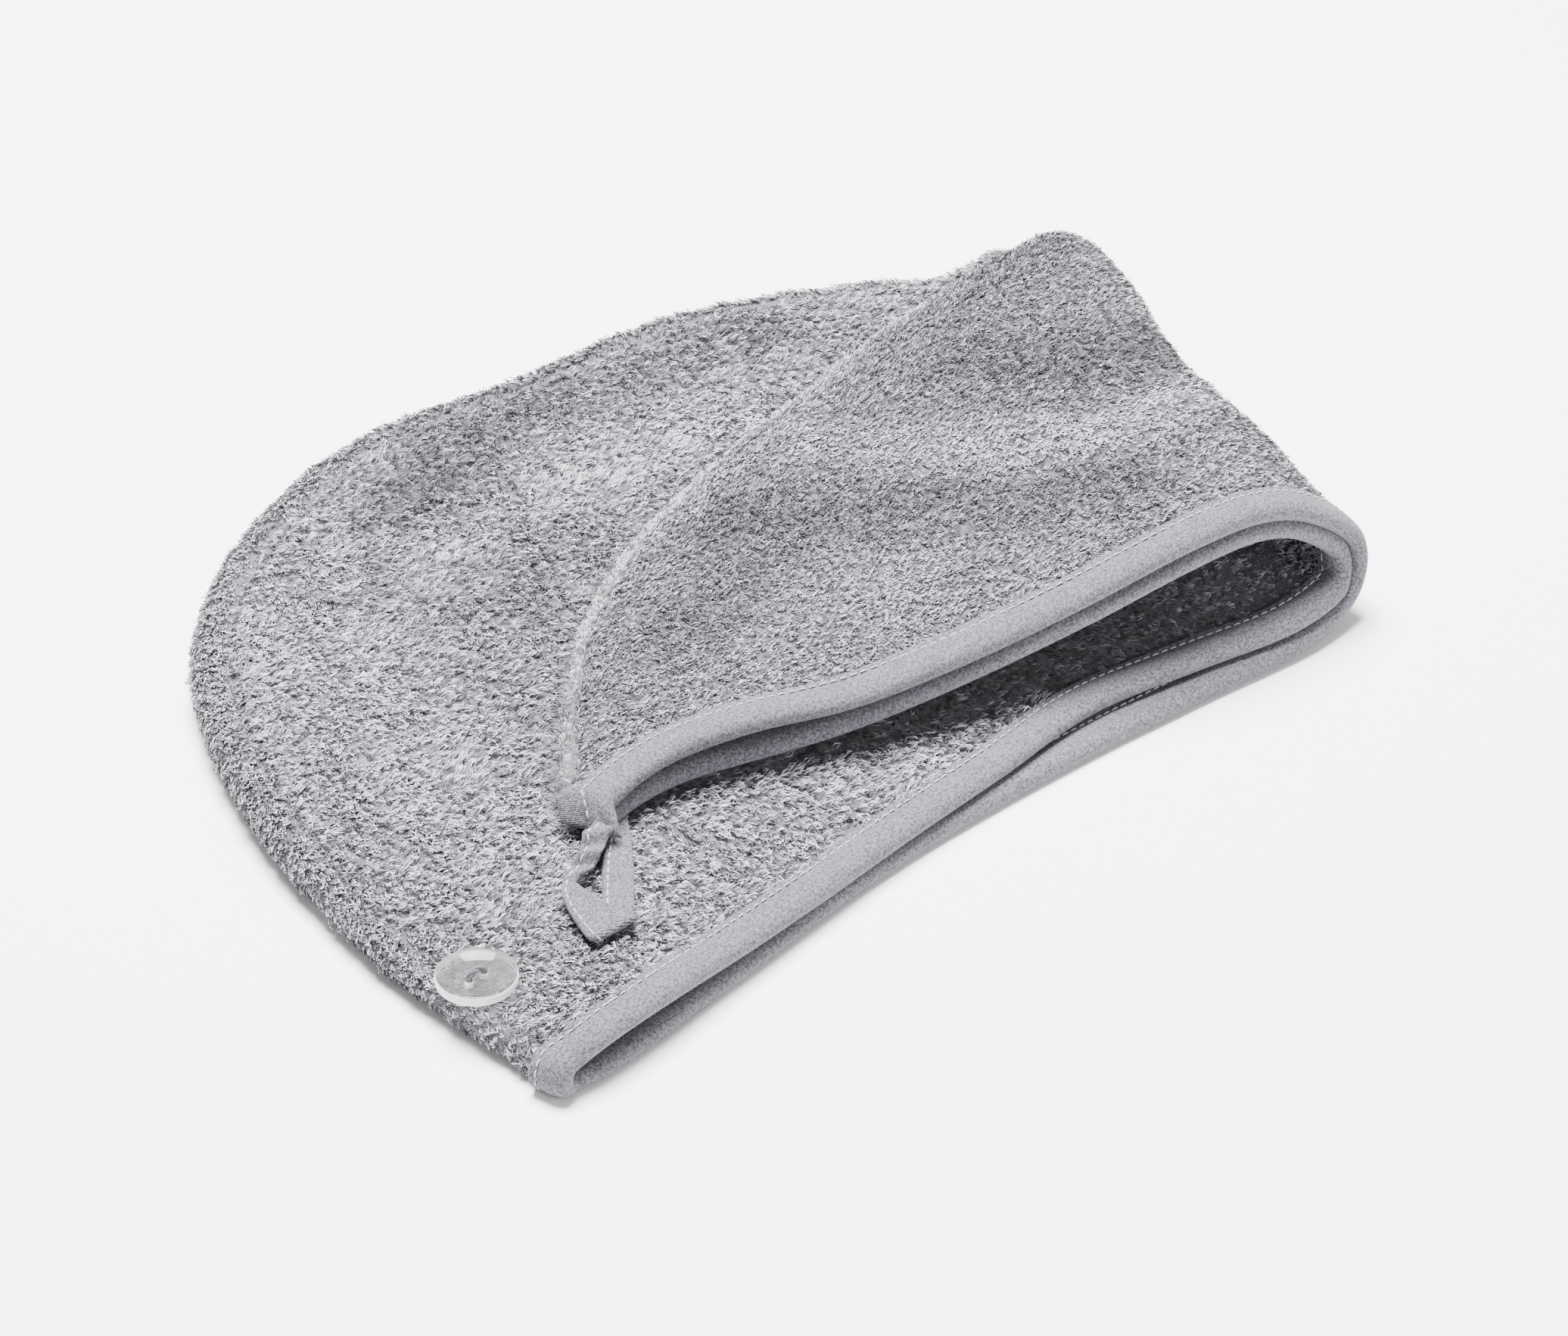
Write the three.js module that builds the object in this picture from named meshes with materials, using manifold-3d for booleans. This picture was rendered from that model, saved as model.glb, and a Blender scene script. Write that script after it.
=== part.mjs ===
import * as THREE from "three";
import Module from "manifold-3d";
import { mergeVertices } from "three/addons/utils/BufferGeometryUtils.js";

// A hair turban towel laid flat with its long tail folded back over the hood.
// X runs along the mouth from the button corner to the fold, Y from the mouth to
// the crown seam, Z up. All lengths are in millimetres.

// The towel as it lies
const lyingLength = 375;
const lyingWidth = 270;
const foldRise = 22;
const layerHollow = 10;
const mouthOpening = 5.2;
const upperInset = 9;
const edgeRoll = 18;

// Shares that shape the layers: of the way to the seam where the hollow is full, of the
// free span that the rolled edge may take, and the power that moves the crown seamward
const hollowFullShare = 0.35;
const edgeRollShare = 0.9;
const crownSkew = 1.35;

// Cloth
const terryThickness = 3.2;
const clothGap = 0.3;

// Binding tape
const bindingWidth = 12;
const tapeThickness = 0.8;
const tapeClearance = 0.4;
const bindingSwell = 6;

// Button and its thread
const buttonDiameter = 23;
const buttonThickness = 3;
const buttonDish = 0.9;
const buttonDishDiameter = 17;
const buttonHoleDiameter = 2.6;
const buttonHoleSpacing = 5.4;
const buttonChamferShare = 0.2;
const threadDiameter = 1.6;
const threadArch = 1.9;
const archShoulderShare = 0.85;
const shankLength = 1.2;

// Where the button sits: the section it is on and its share of the way to the seam
const buttonAlong = 1.3;
const buttonAcross = 0.68;

// Button loop
const loopLength = 50;
const loopWidth = 21.5;
const loopTapeWidth = 8.6;
const loopTapeThickness = 1.9;

// Worked out from the sizes above
const bindingThickness = terryThickness + 2 * (tapeClearance + tapeThickness);
const slotDepth = 2 * tapeThickness;
const noseOffset = slotDepth + tapeClearance;
const bindingReach = bindingWidth - noseOffset + 2 * tapeClearance;
const hoodStack = 2 * terryThickness + layerHollow;
const layerRest = tapeClearance + tapeThickness + 2 * clothGap;

// Sections across the two layers, in order from the button corner through the fold
// to the tail's tip. Mouth and seam places are shares of lyingLength and lyingWidth.
// pile is how far the section has climbed from the floor onto the hood; the rises and
// the crown are shares of foldRise, opening of mouthOpening, hollow of layerHollow and
// inset of upperInset.
const sectionColumns = [
  "mouthX", "mouthY", "seamX", "seamY", "pile",
  "mouthRise", "seamRise", "crown", "opening", "hollow", "inset",
];
const sectionRows = [
  [0.000, 0.000, -0.013, 0.059, 0, 0, 0, 0, 0.29, 0.39, 0],
  [0.032, -0.004, -0.016, 0.170, 0, 0, 0, 0, 0.93, 0.5, 0],
  [0.093, 0.000, -0.005, 0.348, 0, 0, 0, 0, 0.93, 0.8, 0],
  [0.173, 0.011, 0.035, 0.567, 0, 0, 0, 0, 0.41, 1, 0],
  [0.267, 0.022, 0.117, 0.789, 0, 0, 0, 0, 0.12, 1, 0],
  [0.373, 0.030, 0.251, 0.944, 0, 0, 0, 0, 0.06, 1, 0.11],
  [0.480, 0.026, 0.427, 1.022, 0, 0, 0, 0, 0.09, 0.9, 0.44],
  [0.587, 0.015, 0.592, 0.992, 0, 0, 0, 0, 0.15, 0.9, 1],
  [0.688, 0.000, 0.765, 0.963, 0, 0, 0, 0, 0.15, 0.9, 0.67],
  [0.789, -0.019, 0.912, 0.860, 0.02, 0.05, 0, 0, 0.12, 0.9, 0.22],
  [0.856, -0.015, 0.967, 0.768, 0.2, 0.12, 0.05, 0.2, 0.1, 0.8, 0],
  [0.867, -0.007, 1.008, 0.696, 0.55, 0.5, 0.35, 0.55, 0.1, 0.7, 0],
  [0.824, 0.011, 0.984, 0.656, 1, 0.64, 0.5, 0.75, 0.1, 0.6, 0],
  [0.771, 0.030, 0.912, 0.663, 1, 0.96, 0.4, 0.78, 0.12, 0.5, 0],
  [0.699, 0.048, 0.813, 0.659, 1, 0.95, 0.44, 0.64, 0.2, 0.4, 0],
  [0.603, 0.085, 0.699, 0.641, 1, 0.59, 0.31, 0.45, 0.23, 0.36, 0],
  [0.507, 0.126, 0.573, 0.619, 1, 0.27, 0.13, 0.36, 0.23, 0.36, 0],
  [0.413, 0.167, 0.459, 0.581, 1, 0.06, 0.03, 0.23, 0.42, 0.4, 0],
  [0.333, 0.207, 0.349, 0.504, 1, 0.01, 0, 0.14, 0.85, 0.44, 0],
  [0.272, 0.233, 0.272, 0.419, 1, 0.01, 0, 0.05, 0.65, 0.4, 0],
  [0.229, 0.237, 0.213, 0.341, 1, 0.02, 0, 0, 0.38, 0.34, 0],
  [0.192, 0.230, 0.176, 0.285, 1, 0, 0, 0, 0.12, 0.3, 0],
];
const foldFirstRow = 9;
const foldLastRow = 13;

// Soft dents and swells of both layers: a place along the sections and across them,
// how far each reaches both ways, and its height as a share of foldRise
const dentColumns = ["along", "across", "alongReach", "acrossReach", "height"];
const dentRows = [
  [11.4, 0.44, 1.3, 0.15, -0.32],
  [12.4, 0.82, 1.5, 0.12, 0.20],
  [13.4, 0.62, 0.9, 0.10, -0.14],
  [14.6, 0.48, 1.2, 0.10, 0.10],
  [15.6, 0.78, 1.0, 0.14, 0.09],
  [16.4, 0.35, 1.2, 0.15, -0.06],
];

// Dips of the hood's upper layer alone, in the same columns, heights as shares of
// layerHollow
const creaseRows = [
  [5.9, 0.77, 0.9, 0.07, -0.20],
  [8.0, 0.85, 0.8, 0.06, -0.18],
  [3.9, 0.55, 0.7, 0.10, -0.12],
];

// Route of the button loop from the tail's tip round to its underside: shares of
// loopLength outward and of loopWidth to the side, lift above the hood as a share of
// the tail's height, and the tape's lean in degrees
const loopColumns = ["outward", "aside", "lift", "lean"];
const loopRows = [
  [0.03, 0.00, 1.00, 0],
  [0.13, -0.10, 0.62, -30],
  [0.25, -0.22, 0.30, -55],
  [0.42, -0.33, 0.20, -60],
  [0.60, -0.37, 0.14, -52],
  [0.77, -0.34, 0.09, -30],
  [0.89, -0.18, 0.03, -10],
  [0.92, 0.05, 0.00, 0],
  [0.82, 0.23, 0.00, 0],
  [0.62, 0.27, 0.00, 0],
  [0.42, 0.25, 0.00, 0],
  [0.24, 0.19, 0.05, 5],
  [0.10, 0.13, 0.15, 10],
];

// Colours
const lowerColour = 0xb9bac1;
const upperColour = 0xbcbdc4;
const bindingColour = 0xa9aab1;
const loopColour = 0xa6a7ae;
const threadColour = 0xa3a4ab;
const buttonColour = 0xe4e6ea;

// How finely the shapes are built
const stepsPerSection = 2;
const stepsPerBend = 4;
const flatStations = 7;
const rollStations = 5;
const turnSteps = 8;
const noseSteps = 4;
const loopSteps = 26;
const buttonSides = 32;
const threadSides = 8;
const threadSteps = 18;

// Half the share of a section, or of the way across, over which a slope is measured,
// and the places across the loop's tape, in half widths, where its height is taken
const slopeShare = 0.002;
const acrossTape = [-1, -0.5, 0, 0.5, 1];

const named = (columns, rows) =>
  rows.map((row) => Object.fromEntries(columns.map((name, i) => [name, row[i]])));
const sections = named(sectionColumns, sectionRows);
const dents = named(dentColumns, dentRows);
const creases = named(dentColumns, creaseRows);
const loopRoute = named(loopColumns, loopRows);
const lastSection = sections.length - 1;

// Smooth curve through a column of the table
function column(rows, name, t) {
  const last = rows.length - 1;
  const i = Math.min(Math.max(Math.floor(t), 0), last - 1);
  const f = t - i;
  const value = (k) => rows[k][name];
  const b = value(i);
  const c = value(i + 1);
  const a = i > 0 ? value(i - 1) : 2 * b - c;
  const d = i + 2 <= last ? value(i + 2) : 2 * c - b;
  const cubic = 3 * (b - c) + d - a;
  return b + 0.5 * f * (c - a + f * (2 * a - 5 * b + 4 * c - d + f * cubic));
}

const section = (name, u) => column(sections, name, u);
const lerp = THREE.MathUtils.lerp;
const smooth = (x) => THREE.MathUtils.smoothstep(x, 0, 1);

function bumps(rows, u, v) {
  let total = 0;
  for (const bump of rows) {
    const du = (u - bump.along) / bump.alongReach;
    const dv = (v - bump.across) / bump.acrossReach;
    total += bump.height * Math.exp(-du * du - dv * dv);
  }
  return total;
}

// Clear height between the two layers: narrow at the bound mouth, full inside
function hollowAt(u, v) {
  const bound = 2 * (tapeClearance + tapeThickness);
  const atMouth = bound + section("opening", u) * mouthOpening;
  const inside = (section("hollow", u) + bumps(creases, u, v)) * layerHollow;
  return lerp(atMouth, inside, smooth(v / hollowFullShare));
}

// Distance across the cloth from the mouth edge to the crown seam
function spanAt(u) {
  const x = (section("seamX", u) - section("mouthX", u)) * lyingLength;
  const y = (section("seamY", u) - section("mouthY", u)) * lyingWidth;
  return Math.hypot(x, y);
}

// The outside face of the lower panel before its dents and rolled edge: it lies on the
// floor under the hood, climbs the fold and lies on top of the tail
function outsideAt(u, v) {
  const x = lerp(section("mouthX", u), section("seamX", u), v) * lyingLength;
  const y = lerp(section("mouthY", u), section("seamY", u), v) * lyingWidth;
  const pairThickness = 2 * terryThickness + hollowAt(u, v);
  const climbed = section("pile", u) * (hoodStack + layerRest + pairThickness);
  const rise = lerp(section("mouthRise", u), section("seamRise", u), v);
  const crown = section("crown", u) * Math.sin(Math.PI * v ** crownSkew);
  const fromTape = (v * spanAt(u) - bindingReach) / bindingSwell;
  const onFloor = 1 - THREE.MathUtils.clamp(section("pile", u), 0, 1);
  const lifted = (tapeClearance + tapeThickness) * onFloor * (1 - smooth(fromTape));
  const z = Math.max(climbed + (rise + crown) * foldRise, 0) + lifted;
  return new THREE.Vector3(x, y, z);
}

// Direction from the outside face into the layers
function inwardAt(u, v) {
  const u0 = Math.max(u - slopeShare, 0);
  const u1 = Math.min(u + slopeShare, lastSection);
  const v0 = Math.max(v - slopeShare, 0);
  const v1 = Math.min(v + slopeShare, 1);
  const along = outsideAt(u1, v).sub(outsideAt(u0, v));
  const across = outsideAt(u, v1).sub(outsideAt(u, v0));
  return along.cross(across).normalize();
}

// A point in the stack of layers: depth is measured inward from the outside face
function stackPoint(u, v, depth) {
  const dent = bumps(dents, u, v) * foldRise * smooth(u - foldFirstRow);
  return outsideAt(u, v).addScaledVector(inwardAt(u, v), depth - dent);
}

// Half the height between the two faces of the rolled edge, a distance in from the seam
function rolled(distance, reach, full) {
  const q = THREE.MathUtils.clamp(distance / reach, 0, 1);
  const round = Math.sqrt(1 - (1 - q) ** 2);
  return clothGap / 2 + (full - clothGap / 2) * round;
}

// Distances from the mouth edge of the stations across a section: the edge, just past
// the binding, across the flat part and round the rolled edge
function stationsAt(u, inset) {
  const span = spanAt(u);
  const start = inset + bindingReach;
  const roll = Math.min(edgeRoll, edgeRollShare * (span - start));
  const stations = [inset];
  for (let k = 0; k < flatStations; k += 1) {
    stations.push(lerp(start, span - roll, k / flatStations));
  }
  for (let k = 0; k <= rollStations; k += 1) {
    const angle = (k / rollStations) * (Math.PI / 2);
    stations.push(span - roll * (1 - Math.sin(angle)));
  }
  return { span, roll, stations };
}

// Places along the sections, closer together at the button corner and round the fold
function placesAlong() {
  const places = [];
  for (let row = 0; row < lastSection; row += 1) {
    const bends = row === 0 || (row >= foldFirstRow && row < foldLastRow);
    const steps = bends ? stepsPerBend : stepsPerSection;
    for (let k = 0; k < steps; k += 1) {
      places.push(row + k / steps);
    }
  }
  places.push(lastSection);
  return places;
}
const places = placesAlong();

// The two faces of one panel on a section; side is -1 for the lower panel, +1 for the
// upper one
function panelSection(u, side) {
  const inset = side > 0 ? Math.max(section("inset", u), 0) * upperInset : 0;
  const { span, roll, stations } = stationsAt(u, inset);
  const outer = [];
  const inner = [];
  for (const d of stations) {
    const fromSeam = span - d;
    const v = d / span;
    const half = hollowAt(u, v) / 2;
    const middle = terryThickness + half;
    const outerHalf = rolled(fromSeam, roll, half + terryThickness);
    outer.push(stackPoint(u, v, middle + side * outerHalf));

    const wall = terryThickness * Math.max(1 - fromSeam / roll, 0);
    const vIn = (d - wall) / span;
    const halfIn = hollowAt(u, vIn) / 2;
    const innerReach = Math.max(roll - terryThickness, 1);
    const innerHalf = rolled(fromSeam + wall - terryThickness, innerReach, halfIn);
    inner.push(stackPoint(u, vIn, terryThickness + halfIn + side * innerHalf));
  }
  return { outer, inner };
}

function clothMaterial(color) {
  return new THREE.MeshStandardMaterial({ color, roughness: 0.95, metalness: 0 });
}

function mesh(name, geometry, material) {
  const made = new THREE.Mesh(geometry, material);
  made.name = name;
  return made;
}

// The sides of a body whose cross-sections are rings of points with equal counts.
// turned says which four-cornered faces are cut along their other diagonal, so that
// faces that lie close together twist alike.
function loft(rings, turned = () => false) {
  const count = rings[0].length;
  const position = rings.flat().flatMap((p) => [p.x, p.y, p.z]);
  const index = [];
  for (let i = 0; i + 1 < rings.length; i += 1) {
    for (let j = 0; j < count; j += 1) {
      const a = i * count + j;
      const b = i * count + ((j + 1) % count);
      const c = a + count;
      const d = b + count;
      if (turned(i, j)) {
        index.push(a, b, d, a, d, c);
      } else {
        index.push(a, b, c, b, d, c);
      }
    }
  }
  return { count, position, index };
}

function toGeometry(position, index) {
  const geometry = new THREE.BufferGeometry();
  geometry.setAttribute("position", new THREE.Float32BufferAttribute(position, 3));
  geometry.setIndex(index);
  return facingOut(geometry);
}

// Turns every triangle over if the body encloses a negative volume
function facingOut(geometry) {
  const at = geometry.getAttribute("position");
  const index = geometry.getIndex();
  const corner = (k) => new THREE.Vector3().fromBufferAttribute(at, index.getX(k));
  let volume = 0;
  for (let k = 0; k < index.count; k += 3) {
    volume += corner(k).dot(corner(k + 1).cross(corner(k + 2)));
  }
  if (volume < 0) {
    for (let k = 0; k < index.count; k += 3) {
      const second = index.getX(k + 1);
      index.setX(k + 1, index.getX(k + 2));
      index.setX(k + 2, second);
    }
  }
  geometry.computeVertexNormals();
  return geometry;
}

// A panel: rings of the outer face followed by the inner face back again
function panelGeometry(side) {
  const rings = places.map((u) => {
    const { outer, inner } = panelSection(u, side);
    return [...outer, ...inner.reverse()];
  });
  const half = rings[0].length / 2;
  const { count, position, index } = loft(rings, (i, j) => j >= half);
  const lastRing = (rings.length - 1) * count;
  for (let j = 0; j + 1 < half; j += 1) {
    const k = count - 1 - j;
    index.push(j, k, j + 1, j + 1, k, k - 1);
    index.push(lastRing + j, lastRing + j + 1, lastRing + k);
    index.push(lastRing + j + 1, lastRing + k - 1, lastRing + k);
  }
  return toGeometry(position, index);
}

// Where the binding holds a panel's edge: the edge's middle, the way in along the
// cloth and the way from the lower layer to the upper one
function edgeFrame(u, side) {
  const { outer, inner } = panelSection(u, side);
  const edge = outer[0].clone().add(inner[0]).multiplyScalar(0.5);
  const beyond = outer[1].clone().add(inner[1]).multiplyScalar(0.5);
  const inward = beyond.sub(edge).normalize();
  const up = inner[0].clone().sub(outer[0]).add(inner[1]).sub(outer[1]);
  up.multiplyScalar(-side);
  up.addScaledVector(inward, -up.dot(inward)).normalize();
  return { edge, inward, up };
}

// The folded tape in its own section: x from the nose inward, y through the cloth
function bindingProfile() {
  const radius = bindingThickness / 2;
  const slot = terryThickness / 2 + tapeClearance;
  const profile = [[bindingWidth, radius]];
  for (let k = 0; k <= noseSteps; k += 1) {
    const angle = Math.PI / 2 + (k / noseSteps) * Math.PI;
    profile.push([radius + radius * Math.cos(angle), radius * Math.sin(angle)]);
  }
  profile.push([bindingWidth, -radius]);
  profile.push([bindingWidth, -slot], [slotDepth, -slot]);
  profile.push([slotDepth, slot], [bindingWidth, slot]);
  return profile;
}

function bindingRing({ edge, inward, up }) {
  const nose = edge.clone().addScaledVector(inward, -noseOffset);
  return bindingProfile().map(([x, y]) =>
    nose.clone().addScaledVector(inward, x).addScaledVector(up, y));
}

// Frames of the tape round the button corner, from the lower panel to the upper one
function cornerFrames() {
  const lower = edgeFrame(0, -1);
  const upper = edgeFrame(0, 1);
  const middle = lower.edge.clone().add(upper.edge).multiplyScalar(0.5);
  const arm = upper.edge.clone().sub(lower.edge).multiplyScalar(0.5);
  const radius = arm.length();
  const back = new THREE.Vector3().crossVectors(lower.inward, arm).normalize();
  const frames = [];
  for (let k = 1; k < turnSteps; k += 1) {
    const angle = (k / turnSteps) * Math.PI;
    const share = k / turnSteps;
    const outward = back.clone().multiplyScalar(-Math.sin(angle));
    outward.addScaledVector(arm, -Math.cos(angle) / radius);
    const edge = middle.clone().addScaledVector(outward, radius);
    const inward = lower.inward.clone().lerp(upper.inward, share).normalize();
    frames.push({ edge, inward, up: outward.negate() });
  }
  return frames;
}

// Closes both ends of a channel section with fans that stay inside it
function channelCaps(rings, count) {
  const outline = bindingProfile().map(([x, y]) => new THREE.Vector2(x, y));
  const faces = THREE.ShapeUtils.triangulateShape(outline, []);
  const lastRing = (rings - 1) * count;
  const index = [];
  for (const [a, b, c] of faces) {
    index.push(a, c, b);
    index.push(lastRing + a, lastRing + b, lastRing + c);
  }
  return index;
}

function bindingGeometry() {
  const lower = [...places].reverse().map((u) => edgeFrame(u, -1));
  const upper = places.map((u) => {
    const frame = edgeFrame(u, 1);
    return { ...frame, up: frame.up.negate() };
  });
  const frames = [...lower, ...cornerFrames(), ...upper];
  const rings = frames.map(bindingRing);
  const profile = bindingProfile();
  const turned = (i, j) => {
    const goesInward = profile[(j + 1) % profile.length][0] > profile[j][0];
    return goesInward === i < lower.length;
  };
  const { count, position, index } = loft(rings, turned);
  index.push(...channelCaps(rings.length, count));
  return toGeometry(position, index);
}

const upperPanel = mesh("terry_panel_upper", panelGeometry(1), clothMaterial(upperColour));

// Height of the hood's top face at a place in plan, seen from just above the hood
function hoodTopAt(x, y) {
  const from = new THREE.Vector3(x, y, hoodStack + layerRest / 2);
  const down = new THREE.Vector3(0, 0, -1);
  const hits = new THREE.Raycaster(from, down).intersectObject(upperPanel);
  return hits.length > 0 ? hits[0].point.z : 0;
}

// A rounded tape section across its width and thickness
function tapeSection(width, thickness) {
  const x = width / 2;
  const y = thickness / 2;
  return [
    [-x, 0], [-x + y, -y], [0, -y], [x - y, -y],
    [x, 0], [x - y, y], [0, y], [-x + y, y],
  ];
}

// The loop leaves the tail's tip, turns back at its far end and comes in underneath
function loopGeometry() {
  const tip = edgeFrame(lastSection, -1);
  const start = tip.edge.clone();
  const outward = new THREE.Vector3(-1, -1, 0).normalize();
  const aside = new THREE.Vector3(1, -1, 0).normalize();
  const hood = hoodTopAt(start.x, start.y);
  const tailHeight = start.z - hood;
  const route = [];
  for (let k = 0; k <= loopSteps; k += 1) {
    const t = (k / loopSteps) * (loopRoute.length - 1);
    const point = start.clone();
    point.addScaledVector(outward, column(loopRoute, "outward", t) * loopLength);
    point.addScaledVector(aside, column(loopRoute, "aside", t) * loopWidth);
    const lean = THREE.MathUtils.degToRad(column(loopRoute, "lean", t));
    const halfHeight = (loopTapeWidth / 2) * Math.abs(Math.sin(lean));
    const reach = acrossTape.map((share) => (share * loopTapeWidth) / 2);
    const tops = reach.flatMap((r) => [
      hoodTopAt(point.x + r, point.y),
      hoodTopAt(point.x, point.y + r),
    ]);
    const under = Math.max(...tops) + clothGap + loopTapeThickness / 2;
    point.z = under + halfHeight + column(loopRoute, "lift", t) * tailHeight;
    route.push({ point, lean });
  }
  const up = new THREE.Vector3(0, 0, 1);
  const rings = route.map(({ point, lean }, k) => {
    const before = route[Math.max(k - 1, 0)].point;
    const after = route[Math.min(k + 1, loopSteps)].point;
    const along = after.clone().sub(before).normalize();
    const across = new THREE.Vector3().crossVectors(up, along).normalize();
    const through = new THREE.Vector3().crossVectors(along, across);
    across.applyAxisAngle(along, lean);
    through.applyAxisAngle(along, lean);
    return tapeSection(loopTapeWidth, loopTapeThickness).map(([x, y]) =>
      point.clone().addScaledVector(across, x).addScaledVector(through, y));
  });
  const { count, position, index } = loft(rings);
  const lastRing = (rings.length - 1) * count;
  for (let j = 1; j + 1 < count; j += 1) {
    index.push(0, j + 1, j);
    index.push(lastRing, lastRing + j, lastRing + j + 1);
  }
  return toGeometry(position, index);
}

const wasm = await Module();
wasm.setup();

function toSolid(geometry) {
  const bare = geometry.clone();
  bare.deleteAttribute("normal");
  bare.deleteAttribute("uv");
  const merged = mergeVertices(bare);
  const vertProperties = new Float32Array(merged.getAttribute("position").array);
  const triVerts = new Uint32Array(merged.getIndex().array);
  return new wasm.Manifold(new wasm.Mesh({ numProp: 3, vertProperties, triVerts }));
}

function fromSolid(solid) {
  const mesh = solid.getMesh();
  return toGeometry(Array.from(mesh.vertProperties), Array.from(mesh.triVerts));
}

// The button stands on its thread over the hood, near the rolled edge
function buttonPlace() {
  const { x, y } = outsideAt(buttonAlong, buttonAcross);
  const heights = [-1, 0, 1].map((k) => hoodTopAt(x + (k * buttonDiameter) / 2, y));
  return new THREE.Vector3(x, y, Math.max(...heights) + shankLength);
}

function holeOffsets() {
  return [-buttonHoleSpacing / 2, buttonHoleSpacing / 2];
}

function buttonGeometry() {
  const rim = buttonDiameter / 2;
  const dish = buttonDishDiameter / 2;
  const chamfer = buttonThickness * buttonChamferShare;
  const profile = [
    [0, 0],
    [rim - chamfer, 0],
    [rim, chamfer],
    [rim, buttonThickness - chamfer],
    [rim - chamfer, buttonThickness],
    [dish + chamfer, buttonThickness],
    [dish, buttonThickness - buttonDish],
    [0, buttonThickness - buttonDish],
  ].map(([x, y]) => new THREE.Vector2(x, y));
  const disc = new THREE.LatheGeometry(profile, buttonSides).rotateX(Math.PI / 2);
  let solid = toSolid(disc);
  for (const x of holeOffsets()) {
    const hole = new THREE.CylinderGeometry(
      buttonHoleDiameter / 2,
      buttonHoleDiameter / 2,
      3 * buttonThickness,
      buttonSides / 2,
    );
    hole.rotateX(Math.PI / 2);
    hole.translate(x, 0, 0);
    solid = solid.subtract(toSolid(hole));
  }
  return fromSolid(solid);
}

// The thread rises from the hood through one hole, arches over the bridge and goes
// down the other
function threadGeometry(place) {
  const half = buttonHoleSpacing / 2;
  const top = buttonThickness - buttonDish;
  const clear = clothGap + threadDiameter / 4;
  const footAt = (x) => hoodTopAt(place.x + x, place.y) + clear - place.z;
  const route = new THREE.CatmullRomCurve3([
    new THREE.Vector3(-half, 0, footAt(-half)),
    new THREE.Vector3(-half, 0, top),
    new THREE.Vector3(-half / 2, 0, top + archShoulderShare * threadArch),
    new THREE.Vector3(half / 2, 0, top + archShoulderShare * threadArch),
    new THREE.Vector3(half, 0, top),
    new THREE.Vector3(half, 0, footAt(half)),
  ]);
  const outline = new THREE.Shape();
  outline.absarc(0, 0, threadDiameter / 2, 0, 2 * Math.PI);
  const bar = new THREE.ExtrudeGeometry(outline, {
    extrudePath: route,
    steps: threadSteps,
    curveSegments: threadSides,
    bevelEnabled: false,
  });
  return fromSolid(toSolid(bar));
}

function buttonGroup() {
  const clear = new THREE.MeshStandardMaterial({
    color: buttonColour,
    roughness: 0.1,
    metalness: 0,
  });
  const place = buttonPlace();
  const thread = threadGeometry(place);
  const group = new THREE.Group();
  group.position.copy(place);
  group.add(mesh("button", buttonGeometry(), clear));
  group.add(mesh("button_thread", thread, clothMaterial(threadColour)));
  return group;
}

// The towel, standing on its underside with its middle over the origin
function towel() {
  const group = new THREE.Group();
  group.add(mesh("terry_panel_lower", panelGeometry(-1), clothMaterial(lowerColour)));
  group.add(upperPanel);
  group.add(mesh("mouth_binding", bindingGeometry(), clothMaterial(bindingColour)));
  group.add(mesh("button_loop", loopGeometry(), clothMaterial(loopColour)));
  group.add(buttonGroup());
  group.updateMatrixWorld(true);
  const box = new THREE.Box3().setFromObject(group);
  const middle = box.getCenter(new THREE.Vector3());
  group.position.set(-middle.x, -middle.y, -box.min.z);
  return group;
}

const hairTurbanTowel = towel();
export default hairTurbanTowel;
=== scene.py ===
"""Hair turban towel lying folded on the floor, with its looped pile, tape, stitches,
button loop, clear button and thread. Lengths are in metres, in the frame of the CAD
part: the towel stands on Z = 0 with its middle over the origin."""

import math

import bmesh
import bpy
import numpy as np
from mathutils import Matrix, Vector
from mathutils.bvhtree import BVHTree


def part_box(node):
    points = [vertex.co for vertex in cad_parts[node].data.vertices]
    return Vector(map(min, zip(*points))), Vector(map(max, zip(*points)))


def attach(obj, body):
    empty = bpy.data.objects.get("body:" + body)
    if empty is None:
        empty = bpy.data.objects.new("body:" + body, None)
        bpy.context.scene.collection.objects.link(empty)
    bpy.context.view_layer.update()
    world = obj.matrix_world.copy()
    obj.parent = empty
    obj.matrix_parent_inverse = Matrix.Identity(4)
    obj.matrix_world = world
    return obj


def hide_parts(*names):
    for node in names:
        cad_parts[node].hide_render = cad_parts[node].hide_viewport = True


bl_info = {
    "name": "Hair Turban Towel",
    "version": (1, 0, 0),
    "blender": (4, 5, 0),
    "location": "3D View > Sidebar > Towel",
    "description": "Builds a hair turban towel of looped terry with its stage",
    "category": "Add Mesh",
}

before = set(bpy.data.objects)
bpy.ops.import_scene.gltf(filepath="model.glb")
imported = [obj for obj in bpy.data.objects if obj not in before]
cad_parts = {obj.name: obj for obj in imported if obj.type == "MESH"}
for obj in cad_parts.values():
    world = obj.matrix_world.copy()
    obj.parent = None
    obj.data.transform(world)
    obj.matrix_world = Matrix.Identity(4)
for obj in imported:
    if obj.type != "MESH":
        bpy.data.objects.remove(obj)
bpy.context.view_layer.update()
hood_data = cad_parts["terry_panel_upper"].data
hood_tree = BVHTree.FromPolygons(
    [v.co for v in hood_data.vertices], [p.vertices for p in hood_data.polygons]
)

SEED = 7

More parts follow.
